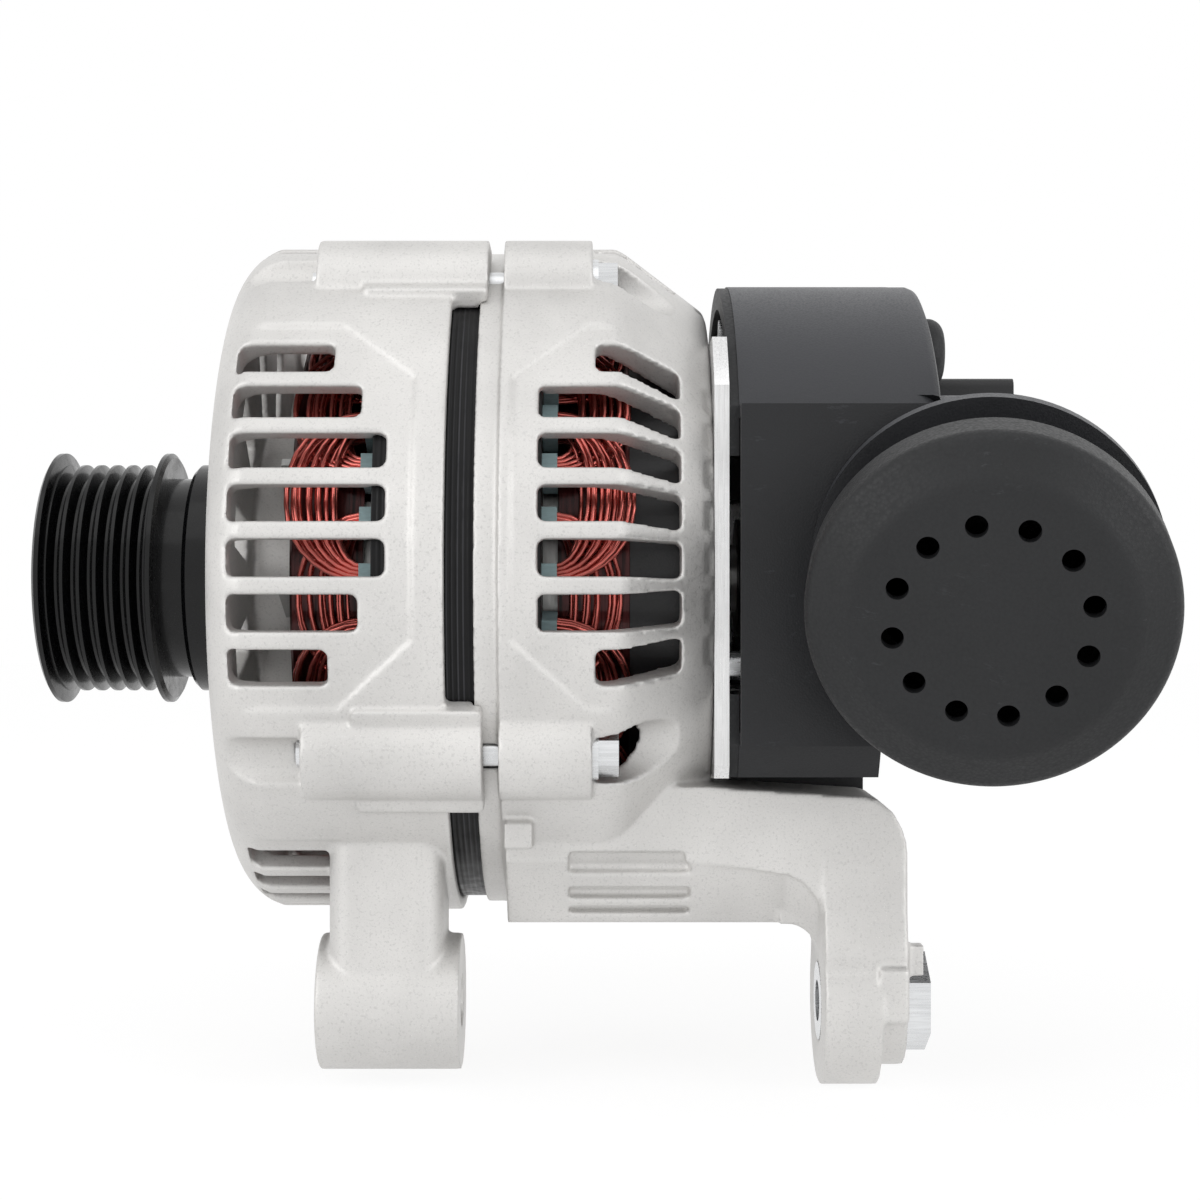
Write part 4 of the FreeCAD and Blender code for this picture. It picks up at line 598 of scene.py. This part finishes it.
def dress(piece: Object, finish: Finish) -> None:
    """Gives a piece one finish all over.

    Args:
        piece: the object.
        finish: its finish.
    """
    piece.data.materials.clear()
    piece.data.materials.append(finish.material())


def linked(name: str, data: bpy.types.ID) -> Object:
    """Makes an object and puts it into the scene.

    Args:
        name: the object's name.
        data: its mesh, curve, lamp or camera.

    Returns:
        The object.
    """
    piece = bpy.data.objects.new(name, data)
    bpy.context.scene.collection.objects.link(piece)
    return piece


def as_mesh(form: BMesh, name: str) -> Mesh:
    """Makes a mesh of a finished bmesh, which is freed.

    Args:
        form: the bmesh.
        name: the mesh's name.

    Returns:
        The mesh.
    """
    mesh = bpy.data.meshes.new(name)
    form.to_mesh(mesh)
    form.free()
    return mesh


def meshed(piece: Object, name: str) -> Mesh:
    """Applies a helper's modifiers, or a curve's thickness, and removes the helper.

    Args:
        piece: the helper.
        name: the new mesh's name.

    Returns:
        The plain mesh.
    """
    bpy.context.view_layer.update()
    graph = bpy.context.evaluated_depsgraph_get()
    mesh = bpy.data.meshes.new_from_object(piece.evaluated_get(graph), depsgraph=graph)
    mesh.name = name
    bpy.data.objects.remove(piece)
    return mesh


def turned_ring(name: str, profile: Sequence[Pair], steps: int) -> Mesh:
    """Turns a closed profile once round the shaft.

    Args:
        name: the mesh's name.
        profile: its corners, as a place along the shaft and a radius.
        steps: the number of steps round.

    Returns:
        The ring.
    """
    form = bmesh.new()
    line = [form.verts.new((x, 0.0, radius)) for x, radius in profile]
    edges = [form.edges.new(pair) for pair in zip(line, line[1:] + line[:1])]
    bmesh.ops.spin(form, geom=line + edges, cent=ORIGIN, axis=SHAFT, angle=2 * math.pi, steps=steps,
                   use_merge=True)
    bmesh.ops.recalc_face_normals(form, faces=form.faces)
    return as_mesh(form, name)


def set_square(start: Vector, first: Vector, second: Vector) -> Matrix:
    """Where a piece of relief lies: its own first two axes along two directions of the model.

    Args:
        start: its origin in millimetres.
        first: the direction of its first axis.
        second: the direction of its second axis.

    Returns:
        The placement.
    """
    turn = Matrix((first, second, first.cross(second))).transposed()
    return Matrix.Translation(start * MM) @ turn.to_4x4()


@dataclass(frozen=True)
class Block:
    """A block in millimetres that a cut or a casting's skin takes up."""

    low: Point
    high: Point

    def add_to(self, form: BMesh, turn: Matrix | None = None) -> None:
        """Adds the block to a mesh.

        Args:
            form: the mesh that takes it.
            turn: where its own corners are put, or None for the model's frame.
        """
        middle = Vector([(a + b) / 2 * MM for a, b in zip(self.low, self.high)])
        sizes = [(b - a) * MM for a, b in zip(self.low, self.high)]
        place = Matrix.Translation(middle) @ Matrix.Diagonal((*sizes, 1.0))
        bmesh.ops.create_cube(form, size=1.0, matrix=(turn or Matrix.Identity(4)) @ place)


@dataclass(frozen=True)
class Slab:
    """A flat outline in millimetres that is pushed into a solid, for a cut or a casting's skin."""

    plane: Plane
    level: float
    outline: tuple[Pair, ...]
    along: Point

    def add_to(self, form: BMesh) -> None:
        """Adds the solid to a mesh.

        Args:
            form: the mesh that takes it.
        """
        across = self.plane is Plane.ACROSS_SHAFT
        corners = [(self.level, a, z) if across else (a, self.level, z) for a, z in self.outline]
        face = form.faces.new([form.verts.new(Vector(corner) * MM) for corner in corners])
        pushed = bmesh.ops.extrude_face_region(form, geom=[face], use_keep_orig=True)["geom"]
        ends = [part for part in pushed if isinstance(part, BMVert)]
        bmesh.ops.translate(form, verts=ends, vec=Vector(self.along) * MM)
        bmesh.ops.recalc_face_normals(form, faces=form.faces)


@dataclass
class Frame:
    """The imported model, and what the sub-assemblies ask of it."""

    packed: dict[str, Any]

    def slot_of(self, node: str) -> str:
        """The record's material slot of a node."""
        parts = self.packed["record"]["subparts"]
        return next(part["material_slot"] for part in parts if part["node"] == node)

    def node(self, name: str) -> Object:
        """The object of a CAD node."""
        return self.packed["nodes"][name]

    def dress_all(self) -> None:
        """Gives every CAD node the finish of its slot."""
        for name, piece in self.packed["nodes"].items():
            dress(piece, Rack.FINISHES[self.slot_of(name)])
            LOG.info("dressed %s", name)

    def add(self, mesh: Mesh, slot: str, replaced: Sequence[str] = (),
            finish: Finish | None = None, body: str | None = "housing") -> Object:
        """Puts a new piece into the scene, under its mesh's name.

        Args:
            mesh: its mesh, in the model's frame.
            slot: the record's slot that its finish stands for.
            replaced: the CAD nodes that it stands for.
            finish: its finish, where it isn't the slot's own.
            body: the body that it rides on, or None to leave it on no body.

        Returns:
            The new object.
        """
        piece = linked(mesh.name, mesh)
        dress(piece, finish or Rack.FINISHES[slot])
        if body is not None:
            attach(piece, body)
        if replaced:
            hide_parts(*replaced)
        LOG.info("made %s with %d faces", mesh.name, len(mesh.polygons))
        return piece


@dataclass
class Casting:
    """A cast bracket as one skin, with the soft corners that casting leaves."""

    name: str
    nodes: tuple[str, ...]
    weld: float = 0.002 * MM
    voxel: float = 0.6 * MM
    softening: float = 0.5
    smoothing: int = 2
    most_triangles: int = 180_000

    def cut_away(self, node: str, form: BMesh) -> None:
        """Adds what is cut from a node to the mesh. A plain casting has nothing cut."""

    def cast_on(self, form: BMesh) -> None:
        """Adds what is cast onto the solids to the mesh. A plain casting has nothing more."""

    def trimmed(self, frame: Frame, node: str) -> Mesh:
        """A node's own mesh, closed up and with its cuts made.

        Args:
            frame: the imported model.
            node: the CAD node.

        Returns:
            The mesh.
        """
        form = bmesh.new()
        form.from_mesh(frame.node(node).data)
        bmesh.ops.remove_doubles(form, verts=form.verts, dist=self.weld)
        closed = as_mesh(form, node + "_closed")
        cuts = bmesh.new()
        self.cut_away(node, cuts)
        if not cuts.faces:
            cuts.free()
            return closed
        tool = linked(node + "_cut", as_mesh(cuts, node + "_cut"))
        helper = linked(node + "_closed", closed)
        cut = helper.modifiers.new("cut", "BOOLEAN")
        cut.operation = "DIFFERENCE"
        cut.object = tool
        cut.solver = "EXACT"
        result = meshed(helper, node + "_trimmed")
        bpy.data.objects.remove(tool)
        return result

    def build(self, frame: Frame) -> Object:
        """Joins the nodes, rounds their corners and thins the skin.

        Args:
            frame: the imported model.

        Returns:
            The casting.
        """
        form = bmesh.new()
        for node in self.nodes:
            form.from_mesh(self.trimmed(frame, node))
        self.cast_on(form)
        helper = linked(self.name + "_rough", as_mesh(form, self.name + "_rough"))
        remesh = helper.modifiers.new("skin", "REMESH")
        remesh.mode = "VOXEL"
        remesh.voxel_size = self.voxel
        remesh.adaptivity = 0.0
        smooth = helper.modifiers.new("soften", "SMOOTH")
        smooth.factor = self.softening
        smooth.iterations = self.smoothing
        skin = meshed(helper, self.name + "_skin")
        triangles = sum(len(face.vertices) - 2 for face in skin.polygons)
        helper = linked(self.name + "_skin", skin)
        thin = helper.modifiers.new("thin", "DECIMATE")
        thin.ratio = min(1.0, self.most_triangles / triangles)
        mesh = meshed(helper, self.name)
        mesh.shade_smooth()
        return frame.add(mesh, "cast_aluminium", self.nodes)


@dataclass
class RearCasting(Casting):
    """The rear bracket with its arm, its windows at their full length and depth, and the arm's relief."""

    quarters: int = 4
    first_window: float = 11.0
    window_pitch: float = 8.5
    end_window: int = 3
    longer_window: int = 2
    through: Block = Block((112.0, -3.5, 50.0), (124.4, 3.5, 63.0))
    longer: Block = Block((96.5, -3.55, 61.6), (103.0, 3.55, 80.0))
    hollow: Block = Block((-1.0, -3.2, -0.4), (12.7, 3.2, 4.0))
    hollow_start: Pair = (124.4, 69.3)
    hollow_end: Pair = (131.0, 58.4)
    bevel_edge: Pair = (-50.0, -58.0)
    bevel_foot: Pair = (-40.0, -72.0)
    groove_front: float = 102.0
    groove_rear: float = 127.0
    groove_depth: float = 2.2
    groove_rows: tuple[Pair, ...] = ((-1.2, 3.7), (7.4, 10.8), (13.0, 14.9))
    outer_corner: Slab = Slab(
        Plane.ALONG_SHAFT, -60.0,
        ((160.5, -40.0), (160.5, -43.7), (165.0, -45.6), (168.2, -48.3), (170.2, -52.0), (171.0, -56.0),
         (174.0, -56.0), (174.0, -40.0)), (0.0, 40.0, 0.0))
    inner_bend: Slab = Slab(
        Plane.ALONG_SHAFT, -58.0,
        ((140.0, -46.8), (147.0, -46.8), (150.6, -50.0), (153.2, -54.0), (153.7, -58.8), (153.7, -78.8),
         (140.0, -78.8)), (0.0, 16.0, -22.4))
    web_front: Slab = Slab(
        Plane.ACROSS_SHAFT, 89.3,
        ((-50.0, -52.0), (-50.0, -58.0), (-40.0, -72.0), (-26.0, -72.0), (-26.0, -66.5), (-38.5, -60.0)),
        (8.4, 0.0, 0.0))
    web_pad: Block = Block((89.3, -57.0, -55.0), (95.0, -48.0, -49.6))
    web_band: Slab = Slab(
        Plane.ALONG_SHAFT, -50.3,
        ((89.3, -50.0), (89.3, -54.8), (101.6, -56.2), (101.6, -50.0)), (0.0, 4.0, 0.0))
    bend_edge: Slab = Slab(
        Plane.ALONG_SHAFT, -50.0,
        ((126.0, -57.0), (126.0, -58.3), (138.0, -59.6), (147.0, -61.0), (150.0, -62.6), (152.4, -65.4),
         (153.9, -70.0), (158.0, -70.0), (158.0, -57.0)), (0.0, 3.0, 0.0))
    leg: Slab = Slab(
        Plane.ACROSS_SHAFT, 153.9,
        ((-50.0, -54.0), (-50.6, -63.0), (-52.0, -71.0), (-53.3, -77.0), (-52.9, -80.4), (-23.1, -80.4),
         (-22.7, -77.0), (-24.0, -71.0), (-25.3, -63.0), (-26.0, -54.0)), (17.0, 0.0, 0.0))
    leg_sides: tuple[Block, ...] = (Block((165.0, -54.4, -90.5), (170.9, -46.6, -79.5)),
                                    Block((165.0, -29.4, -90.5), (170.9, -21.6, -79.5)))
    bush_tab: Block = Block((170.0, -51.6, -81.2), (174.0, -47.2, -75.0))

    def cut_away(self, node: str, form: BMesh) -> None:
        """Adds the bracket's or the arm's cuts.

        Args:
            node: the CAD node that is cut.
            form: the mesh that takes the cuts.
        """
        if node == "rear_bracket":
            self.open_windows(form)
        elif node == "rear_arm":
            self.carve_arm(form)

    def open_windows(self, form: BMesh) -> None:
        """Opens the windows through the shoulder, with a shallow hollow from each to the rear face.

        Args:
            form: the mesh that takes the cuts.
        """
        start, end = (Vector((x, 0.0, radius)) for x, radius in (self.hollow_start, self.hollow_end))
        shoulder = set_square(start, (end - start).normalized(), Vector((0.0, 1.0, 0.0)))
        for quarter in range(self.quarters):
            for place in range(-self.end_window, self.end_window + 1):
                angle = self.first_window + self.window_pitch * place + 360.0 / self.quarters * quarter
                turn = Matrix.Rotation(math.pi / 2 - math.radians(angle), 4, "X")
                self.through.add_to(form, turn)
                self.hollow.add_to(form, turn @ shoulder)
                if abs(place) == self.longer_window:
                    self.longer.add_to(form, turn)

    def carve_arm(self, form: BMesh) -> None:
        """Sinks the grooves into the arm's bevel, and rounds its outer corner and its inner bend.

        Args:
            form: the mesh that takes the cuts.
        """
        edge, foot = (Vector((0.0, *corner)) for corner in (self.bevel_edge, self.bevel_foot))
        bevel = set_square(edge, Vector(SHAFT), (foot - edge).normalized())
        for first, last in self.groove_rows:
            groove = Block((self.groove_front, first, -self.groove_depth),
                           (self.groove_rear, last, self.groove_depth))
            groove.add_to(form, bevel)
        self.outer_corner.add_to(form)
        self.inner_bend.add_to(form)

    def cast_on(self, form: BMesh) -> None:
        """Adds the web's front end, pad and band, the bend's edge, the leg's full depth and the bush's tab.

        Args:
            form: the mesh that takes them.
        """
        for relief in (self.web_front, self.web_pad, self.web_band, self.bend_edge, self.leg,
                       *self.leg_sides, self.bush_tab):
            relief.add_to(form)


@dataclass
class ShieldAndShadeRing:
    """The dark plastic ring inside the rear windows, a stand-in for the fan's dark shield there, which also
    puts painted shade inside the windows and hides the lit parts behind.
    """

    front: float = 113.0 * MM
    rear: float = 127.2 * MM
    inside: float = 54.0 * MM
    thick: float = 1.2 * MM
    steps: int = 144

    def build(self, frame: Frame) -> Object:
        """Turns the ring.

        Args:
            frame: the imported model.

        Returns:
            The ring.
        """
        outside = self.inside + self.thick
        profile = ((self.front, self.inside), (self.front, outside), (self.rear, outside),
                   (self.rear, self.inside))
        # A dark ring that paints the shade inside the rear windows.
        mesh = turned_ring("shield_and_shade_ring", profile, self.steps)
        return frame.add(mesh, "cover_plastic", finish=Rack.FINISHES["socket_plastic"])


@dataclass
class BrushSpring:
    """A brush's spring, as a copy of its CAD node's mesh."""

    brush: str

    def build(self, frame: Frame) -> Object:
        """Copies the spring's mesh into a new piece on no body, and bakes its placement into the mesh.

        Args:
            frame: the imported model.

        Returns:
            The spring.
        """
        node = "brush_spring_" + self.brush
        mesh = frame.node(node).data.copy()
        mesh.name = node + "_coil"
        spring = frame.add(mesh, "spring_steel", (node,), body=None)
        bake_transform(spring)
        return spring


@dataclass
class CoverRim:
    """The crisp rear edge of the round cover's top, with the small rounding of its mould."""

    start: float = 171.6 * MM
    end: float = 177.45 * MM
    outside: float = 64.95 * MM
    inside: float = 59.0 * MM
    rounding: float = 1.8 * MM
    taper_along: float = 2.5 * MM
    taper_out: float = 2.0 * MM
    reach: float = 56.0
    crease: float = 50.0
    steps: int = 48

    def build(self, frame: Frame) -> Object:
        """Turns the edge round the top of the cover.

        Args:
            frame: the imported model.

        Returns:
            The edge.
        """
        cut = self.rounding * (1 - math.sqrt(0.5))
        profile = ((self.start, self.outside), (self.end - self.rounding, self.outside),
                   (self.end - cut, self.outside - cut), (self.end, self.outside - self.rounding),
                   (self.end, self.inside), (self.start + self.taper_along, self.inside + self.taper_out))
        half = math.radians(self.reach)
        side, up = math.sin(half), math.cos(half)
        form = bmesh.new()
        face = form.faces.new([form.verts.new((x, radius * side, radius * up)) for x, radius in profile])
        bmesh.ops.spin(form, geom=[face], cent=ORIGIN, axis=SHAFT, angle=2 * half, steps=self.steps)
        bmesh.ops.recalc_face_normals(form, faces=form.faces)
        mesh = as_mesh(form, "cover_rim")
        mesh.shade_smooth()
        mesh.set_sharp_from_angle(angle=math.radians(self.crease))
        return frame.add(mesh, "cover_plastic")


@dataclass
class EndTurns:
    """The wound coils that loop from slot to slot beyond one face of the stator, three phases deep."""

    side: Side
    seed: int
    slots: int = 36
    span: int = 3
    phases: int = 3
    columns: int = 5
    rows: int = 3
    wire: float = 0.50 * MM
    depth: float = 9.0 * MM
    slot_width: float = 3.6 * MM
    inside: float = 2.0 * MM
    longer: float = 3.6 * MM
    jitter: float = 0.85 * MM
    jitter_out: float = 0.5
    sway: float = 1.3 * MM
    sway_out: float = 0.3
    sway_along: float = 0.5
    top: float = 0.98
    phase_drop: float = 0.05
    column_drop: float = 0.15
    row_drop: float = 0.06
    slack: float = 0.04
    loop: tuple[Point, ...] = (
        (0.0, 0.0, 0.0), (0.01, 0.20, 0.1), (0.07, 0.52, 0.55), (0.24, 0.90, 1.0), (0.5, 1.0, 1.0),
        (0.76, 0.90, 1.0), (0.93, 0.52, 0.55), (0.99, 0.20, 0.1), (1.0, 0.0, 0.0))
    # The inner ring stands for the inner wires; its dark colour paints the shade between the outer wires.
    core_inside: float = 53.8 * MM
    core_outside: float = 55.3 * MM
    core_reach: float = 0.9
    core_rounding: float = 0.5 * MM
    core_steps: int = 144

    def node(self) -> str:
        """The CAD node that the wires stand for."""
        return f"end_turns_{self.side.value}"

    def build(self, frame: Frame) -> Object:
        """Lays every wire as a smooth curve and makes the bundle a mesh.

        Args:
            frame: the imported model.

        Returns:
            The wires.
        """
        low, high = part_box(self.node())
        outer = max(abs(low.z), high.z) - self.wire
        face, tip = ((high.x, low.x - self.longer) if self.side is Side.FRONT else
                     (low.x, high.x + self.longer))
        chance = random.Random(self.seed)
        curve = bpy.data.curves.new(self.node() + "_wires", "CURVE")
        curve.dimensions = "3D"
        curve.bevel_depth = self.wire
        curve.bevel_resolution = 1
        curve.use_fill_caps = True
        for coil, first in enumerate(range(0, self.slots, 2)):
            self.lay_coil(curve, first, coil % self.phases, face, tip - face, outer, chance)
        helper = linked(curve.name, curve)
        self.build_core(frame, face, tip)
        mesh = meshed(helper, self.node() + "_wires")
        mesh.shade_smooth()
        return frame.add(mesh, "enamelled_copper", (self.node(),), Rack.WIRE)

    def build_core(self, frame: Frame, face: float, tip: float) -> Object:
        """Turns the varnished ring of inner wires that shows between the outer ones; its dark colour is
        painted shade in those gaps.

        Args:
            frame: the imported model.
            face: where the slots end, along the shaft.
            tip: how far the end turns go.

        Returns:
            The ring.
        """
        low, high, bend = self.core_inside, self.core_outside, self.core_rounding
        far = face + (tip - face) * self.core_reach
        near = far - math.copysign(bend, far - face)
        profile = ((face, low), (face, high), (near, high), (far, high - bend), (far, low + bend),
                   (near, low))
        mesh = turned_ring(self.node() + "_core", profile, self.core_steps)
        # Its dark enamel paints the shade between the outer wires.
        return frame.add(mesh, "enamelled_copper", (self.node(),))

    def lay_coil(self, curve: Curve, first: int, phase: int, face: float, reach: float,
                 outer: float, chance: random.Random) -> None:
        """Adds the loops of one coil, which share a lean of their own.

        Args:
            curve: the curve that takes the loops.
            first: the slot that the coil leaves.
            phase: its phase, from 0 outside to 2 inside.
            face: where the slots end, along the shaft.
            reach: how far the turns go beyond that, signed.
            outer: the outermost wire's radius.
            chance: the source of the irregularities.
        """
        pitch = 2 * math.pi / self.slots
        lean = [chance.uniform(-1.0, 1.0) * self.sway for _ in range(3)]
        for column in range(self.columns):
            aside = (1 - 2 * (column + 0.5) / self.columns) * 0.5 * self.slot_width / outer
            for row in range(self.rows):
                lower = self.column_drop * column + self.row_drop * (row % 2)
                level = self.top - self.phase_drop * phase - lower - self.slack * chance.random()
                leaving = outer - row * self.depth / self.rows
                over = outer - phase * self.depth / self.phases - row * self.depth / self.phases / self.rows
                self.lay_wire(curve, first * pitch - aside, (first + self.span) * pitch + aside, face,
                              reach * level, leaving, over, lean, chance)

    def lay_wire(self, curve: Curve, start: float, end: float, face: float, reach: float,
                 leaving: float, over: float, lean: Sequence[float], chance: random.Random) -> None:
        """Adds one loop: out of its slot, over to the other slot and back in.

        Args:
            curve: the curve that takes the loop.
            start: the angle at which it leaves.
            end: the angle at which it enters.
            face: where the slots end, along the shaft.
            reach: how far the loop goes beyond that, signed.
            leaving: its radius in the slots.
            over: its radius between them.
            lean: how far the whole coil leans round, out and along.
            chance: the source of its own irregularities.
        """
        stray = [chance.uniform(-1.0, 1.0) * self.jitter for _ in range(3)]
        back = -1 if reach > 0 else 1
        spline = curve.splines.new("NURBS")
        spline.points.add(len(self.loop) - 1)
        for point, (along, out, across) in zip(spline.points, self.loop):
            bow = math.sin(math.pi * along)
            angle = start + (end - start) * along + bow * (stray[0] + lean[0]) / over
            sunk = abs(stray[1] * self.jitter_out + lean[1] * self.sway_out)
            radius = leaving + (over - leaving) * across - bow * sunk
            inward = bow * (abs(lean[2]) * self.sway_along - stray[2]) * back
            x = face + (self.inside * back if out == 0.0 else reach * out + inward)
            point.co = (x, -radius * math.cos(angle), radius * math.sin(angle), 1.0)
        spline.order_u = 4
        spline.use_endpoint_u = True
        spline.resolution_u = 2


@dataclass
class SlotCuffs:
    """The folded ends of the slot insulation. A known fault: all lie at the top, as add_cuff says."""

    slots: int = 36
    proud: float = 0.1 * MM
    length: float = 2.1 * MM
    width: float = 11.1 * MM
    fold: float = 1.2 * MM
    thick: float = 0.35 * MM
    corner: float = 0.7 * MM
    crown: float = 0.12 * MM

    def build(self, frame: Frame) -> Object:
        """Folds a cuff for every slot, at both ends.

        Args:
            frame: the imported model.

        Returns:
            The cuffs.
        """
        low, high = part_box("slot_liners")
        radius = max(abs(low.z), high.z) + self.proud
        form = bmesh.new()
        for start in (low.x, high.x - self.length):
            for slot in range(self.slots):
                self.add_cuff(form, start, radius, slot * 2 * math.pi / self.slots)
        bmesh.ops.recalc_face_normals(form, faces=form.faces)
        return frame.add(as_mesh(form, "slot_cuffs"), "slot_liner")

    def add_cuff(self, form: BMesh, start: float, radius: float, angle: float) -> None:
        """Adds one folded cuff.

        A known fault: solidify leaves every vertex tagged, so fresh is empty and nothing is turned. Each
        cuff stays at the top of its end, on those before it.

        Args:
            form: the mesh that takes it.
            start: its front edge, along the shaft.
            radius: its outside, from the shaft.
            angle: its slot's place round the shaft.
        """
        half, cut = self.width / 2, self.corner
        across = ((-half, -self.fold), (-half, -cut), (-half + cut, 0.0), (0.0, self.crown),
                  (half - cut, 0.0), (half, -cut), (half, -self.fold))
        line = [form.verts.new((start, side, radius + up)) for side, up in across]
        edges = [form.edges.new(pair) for pair in zip(line, line[1:])]
        swept = bmesh.ops.extrude_edge_only(form, edges=edges)["geom"]
        far = [part for part in swept if isinstance(part, BMVert)]
        bmesh.ops.translate(form, verts=far, vec=(self.length, 0.0, 0.0))
        faces = [part for part in swept if isinstance(part, BMFace)]
        bmesh.ops.solidify(form, geom=faces, thickness=self.thick)
        fresh = [vert for vert in form.verts if not vert.tag]
        turn = Matrix.Rotation(math.pi / 2 - angle, 4, "X")
        bmesh.ops.rotate(form, verts=fresh, cent=ORIGIN, matrix=turn.to_3x3())
        for vert in fresh:
            vert.tag = True


@dataclass(frozen=True)
class Lamp:
    """A soft square lamp: its place and what it points at, its side in metres, its power in watts."""

    name: str
    at: Point
    size: float
    power: float
    aim: Point = (0.10, 0.0, 0.0)

    def hang(self) -> None:
        """Puts the lamp into the scene, pointed at its aim."""
        data = bpy.data.lights.new(self.name, "AREA")
        data.shape = "SQUARE"
        data.size = self.size
        data.energy = self.power
        lamp = linked(self.name, data)
        lamp.location = self.at
        lamp.rotation_euler = (Vector(self.aim) - Vector(self.at)).to_track_quat("-Z", "Y").to_euler()


@dataclass
class Studio:
    """The camera at the photograph's angle, the pale floor and the plain soft light."""

    eye: Point = (0.1085, -0.500, -0.005)
    focal_pixels: float = 2215.0
    picture: float = 1200.0
    sensor: float = 36.0
    nearest: float = 0.01
    farthest: float = 50.0
    ambient: float = 0.645
    lamps: tuple[Lamp, ...] = (
        Lamp("lamp_above", (0.02, -0.55, 0.90), 0.8, 1.2),
        Lamp("lamp_left", (-0.80, -0.75, 0.35), 0.6, 3.0),
        Lamp("lamp_right", (1.0, -0.65, 0.30), 0.6, 2.7))
    floor_reach: float = 3.0
    floor_pale: float = 0.95
    floor_roughness: float = 0.8
    floor_glow: float = 1.08
    floor_clear: float = 0.8

    def set_camera(self) -> None:
        """Makes the camera, level and straight across the shaft."""
        data = bpy.data.cameras.new("camera")
        data.sensor_width = self.sensor
        data.lens = self.focal_pixels / self.picture * self.sensor
        data.clip_start = self.nearest
        data.clip_end = self.farthest
        camera = linked("camera", data)
        camera.location = self.eye
        camera.rotation_euler = (math.pi / 2, 0.0, 0.0)
        bpy.context.scene.camera = camera

    def set_world(self) -> None:
        """Makes an even pale surround that shows white behind the part and in its reflections."""
        world = bpy.data.worlds.new("studio")
        sheet = ShaderSheet(world)
        bpy.context.scene.world = world
        level = sheet.spread(sheet.looked_at(), 0.0, 1.0, self.ambient, 1.0)
        sheet.lead_out(sheet.node("ShaderNodeBackground", {}, {"Color": WHITE, "Strength": level}))

    def set_floor(self, height: float) -> None:
        """Lays the pale floor under the part; it is white to the camera apart from the shadow.

        Args:
            height: the floor's height.
        """
        form = bmesh.new()
        bmesh.ops.create_grid(form, x_segments=1, y_segments=1, size=self.floor_reach)
        bmesh.ops.translate(form, verts=form.verts, vec=(0.0, 0.0, height))
        floor = linked("floor", as_mesh(form, "floor"))
        sheet = ShaderSheet(bpy.data.materials.new("pale_floor"))
        pale = (self.floor_pale, self.floor_pale, self.floor_pale, 1.0)
        matt = sheet.node("ShaderNodeBsdfPrincipled", {},
                          {"Base Color": pale, "Roughness": self.floor_roughness})
        glow = sheet.node("ShaderNodeEmission", {}, {"Color": WHITE, "Strength": self.floor_glow})
        share = sheet.looked_at() * self.floor_clear
        sheet.lead_out(sheet.node("ShaderNodeMixShader", {}, {0: share, 1: matt, 2: glow}))
        floor.data.materials.append(sheet.owner)
        floor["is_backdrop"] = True

    def build(self, floor: float) -> None:
        """Sets up the whole studio.

        Args:
            floor: the floor's height.
        """
        self.set_camera()
        self.set_world()
        for lamp in self.lamps:
            lamp.hang()
        self.set_floor(floor)
        bpy.context.scene.view_settings.view_transform = "Standard"


def plain(box: Sequence[Sequence[float]]) -> list[list[float]]:
    """A box as plain lists of numbers."""
    return [[float(part) for part in corner] for corner in box]


def main() -> None:
    """Builds and dresses the whole part."""
    logging.basicConfig(level=logging.INFO, format="%(name)s: %(message)s")
    frame = Frame(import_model())
    cad_box = plain(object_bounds())
    frame.dress_all()
    Studio().build(cad_box[0][2])
    Casting("front_casting", ("front_bracket", "front_foot")).build(frame)
    RearCasting("rear_casting", ("rear_bracket", "rear_hub", "rear_arm")).build(frame)
    for side, seed in ((Side.FRONT, 7), (Side.REAR, 11)):
        EndTurns(side, seed).build(frame)
    SlotCuffs().build(frame)
    ShieldAndShadeRing().build(frame)
    CoverRim().build(frame)
    for brush in ("front", "rear"):
        BrushSpring(brush).build(frame)


if __name__ == "__main__":
    main()
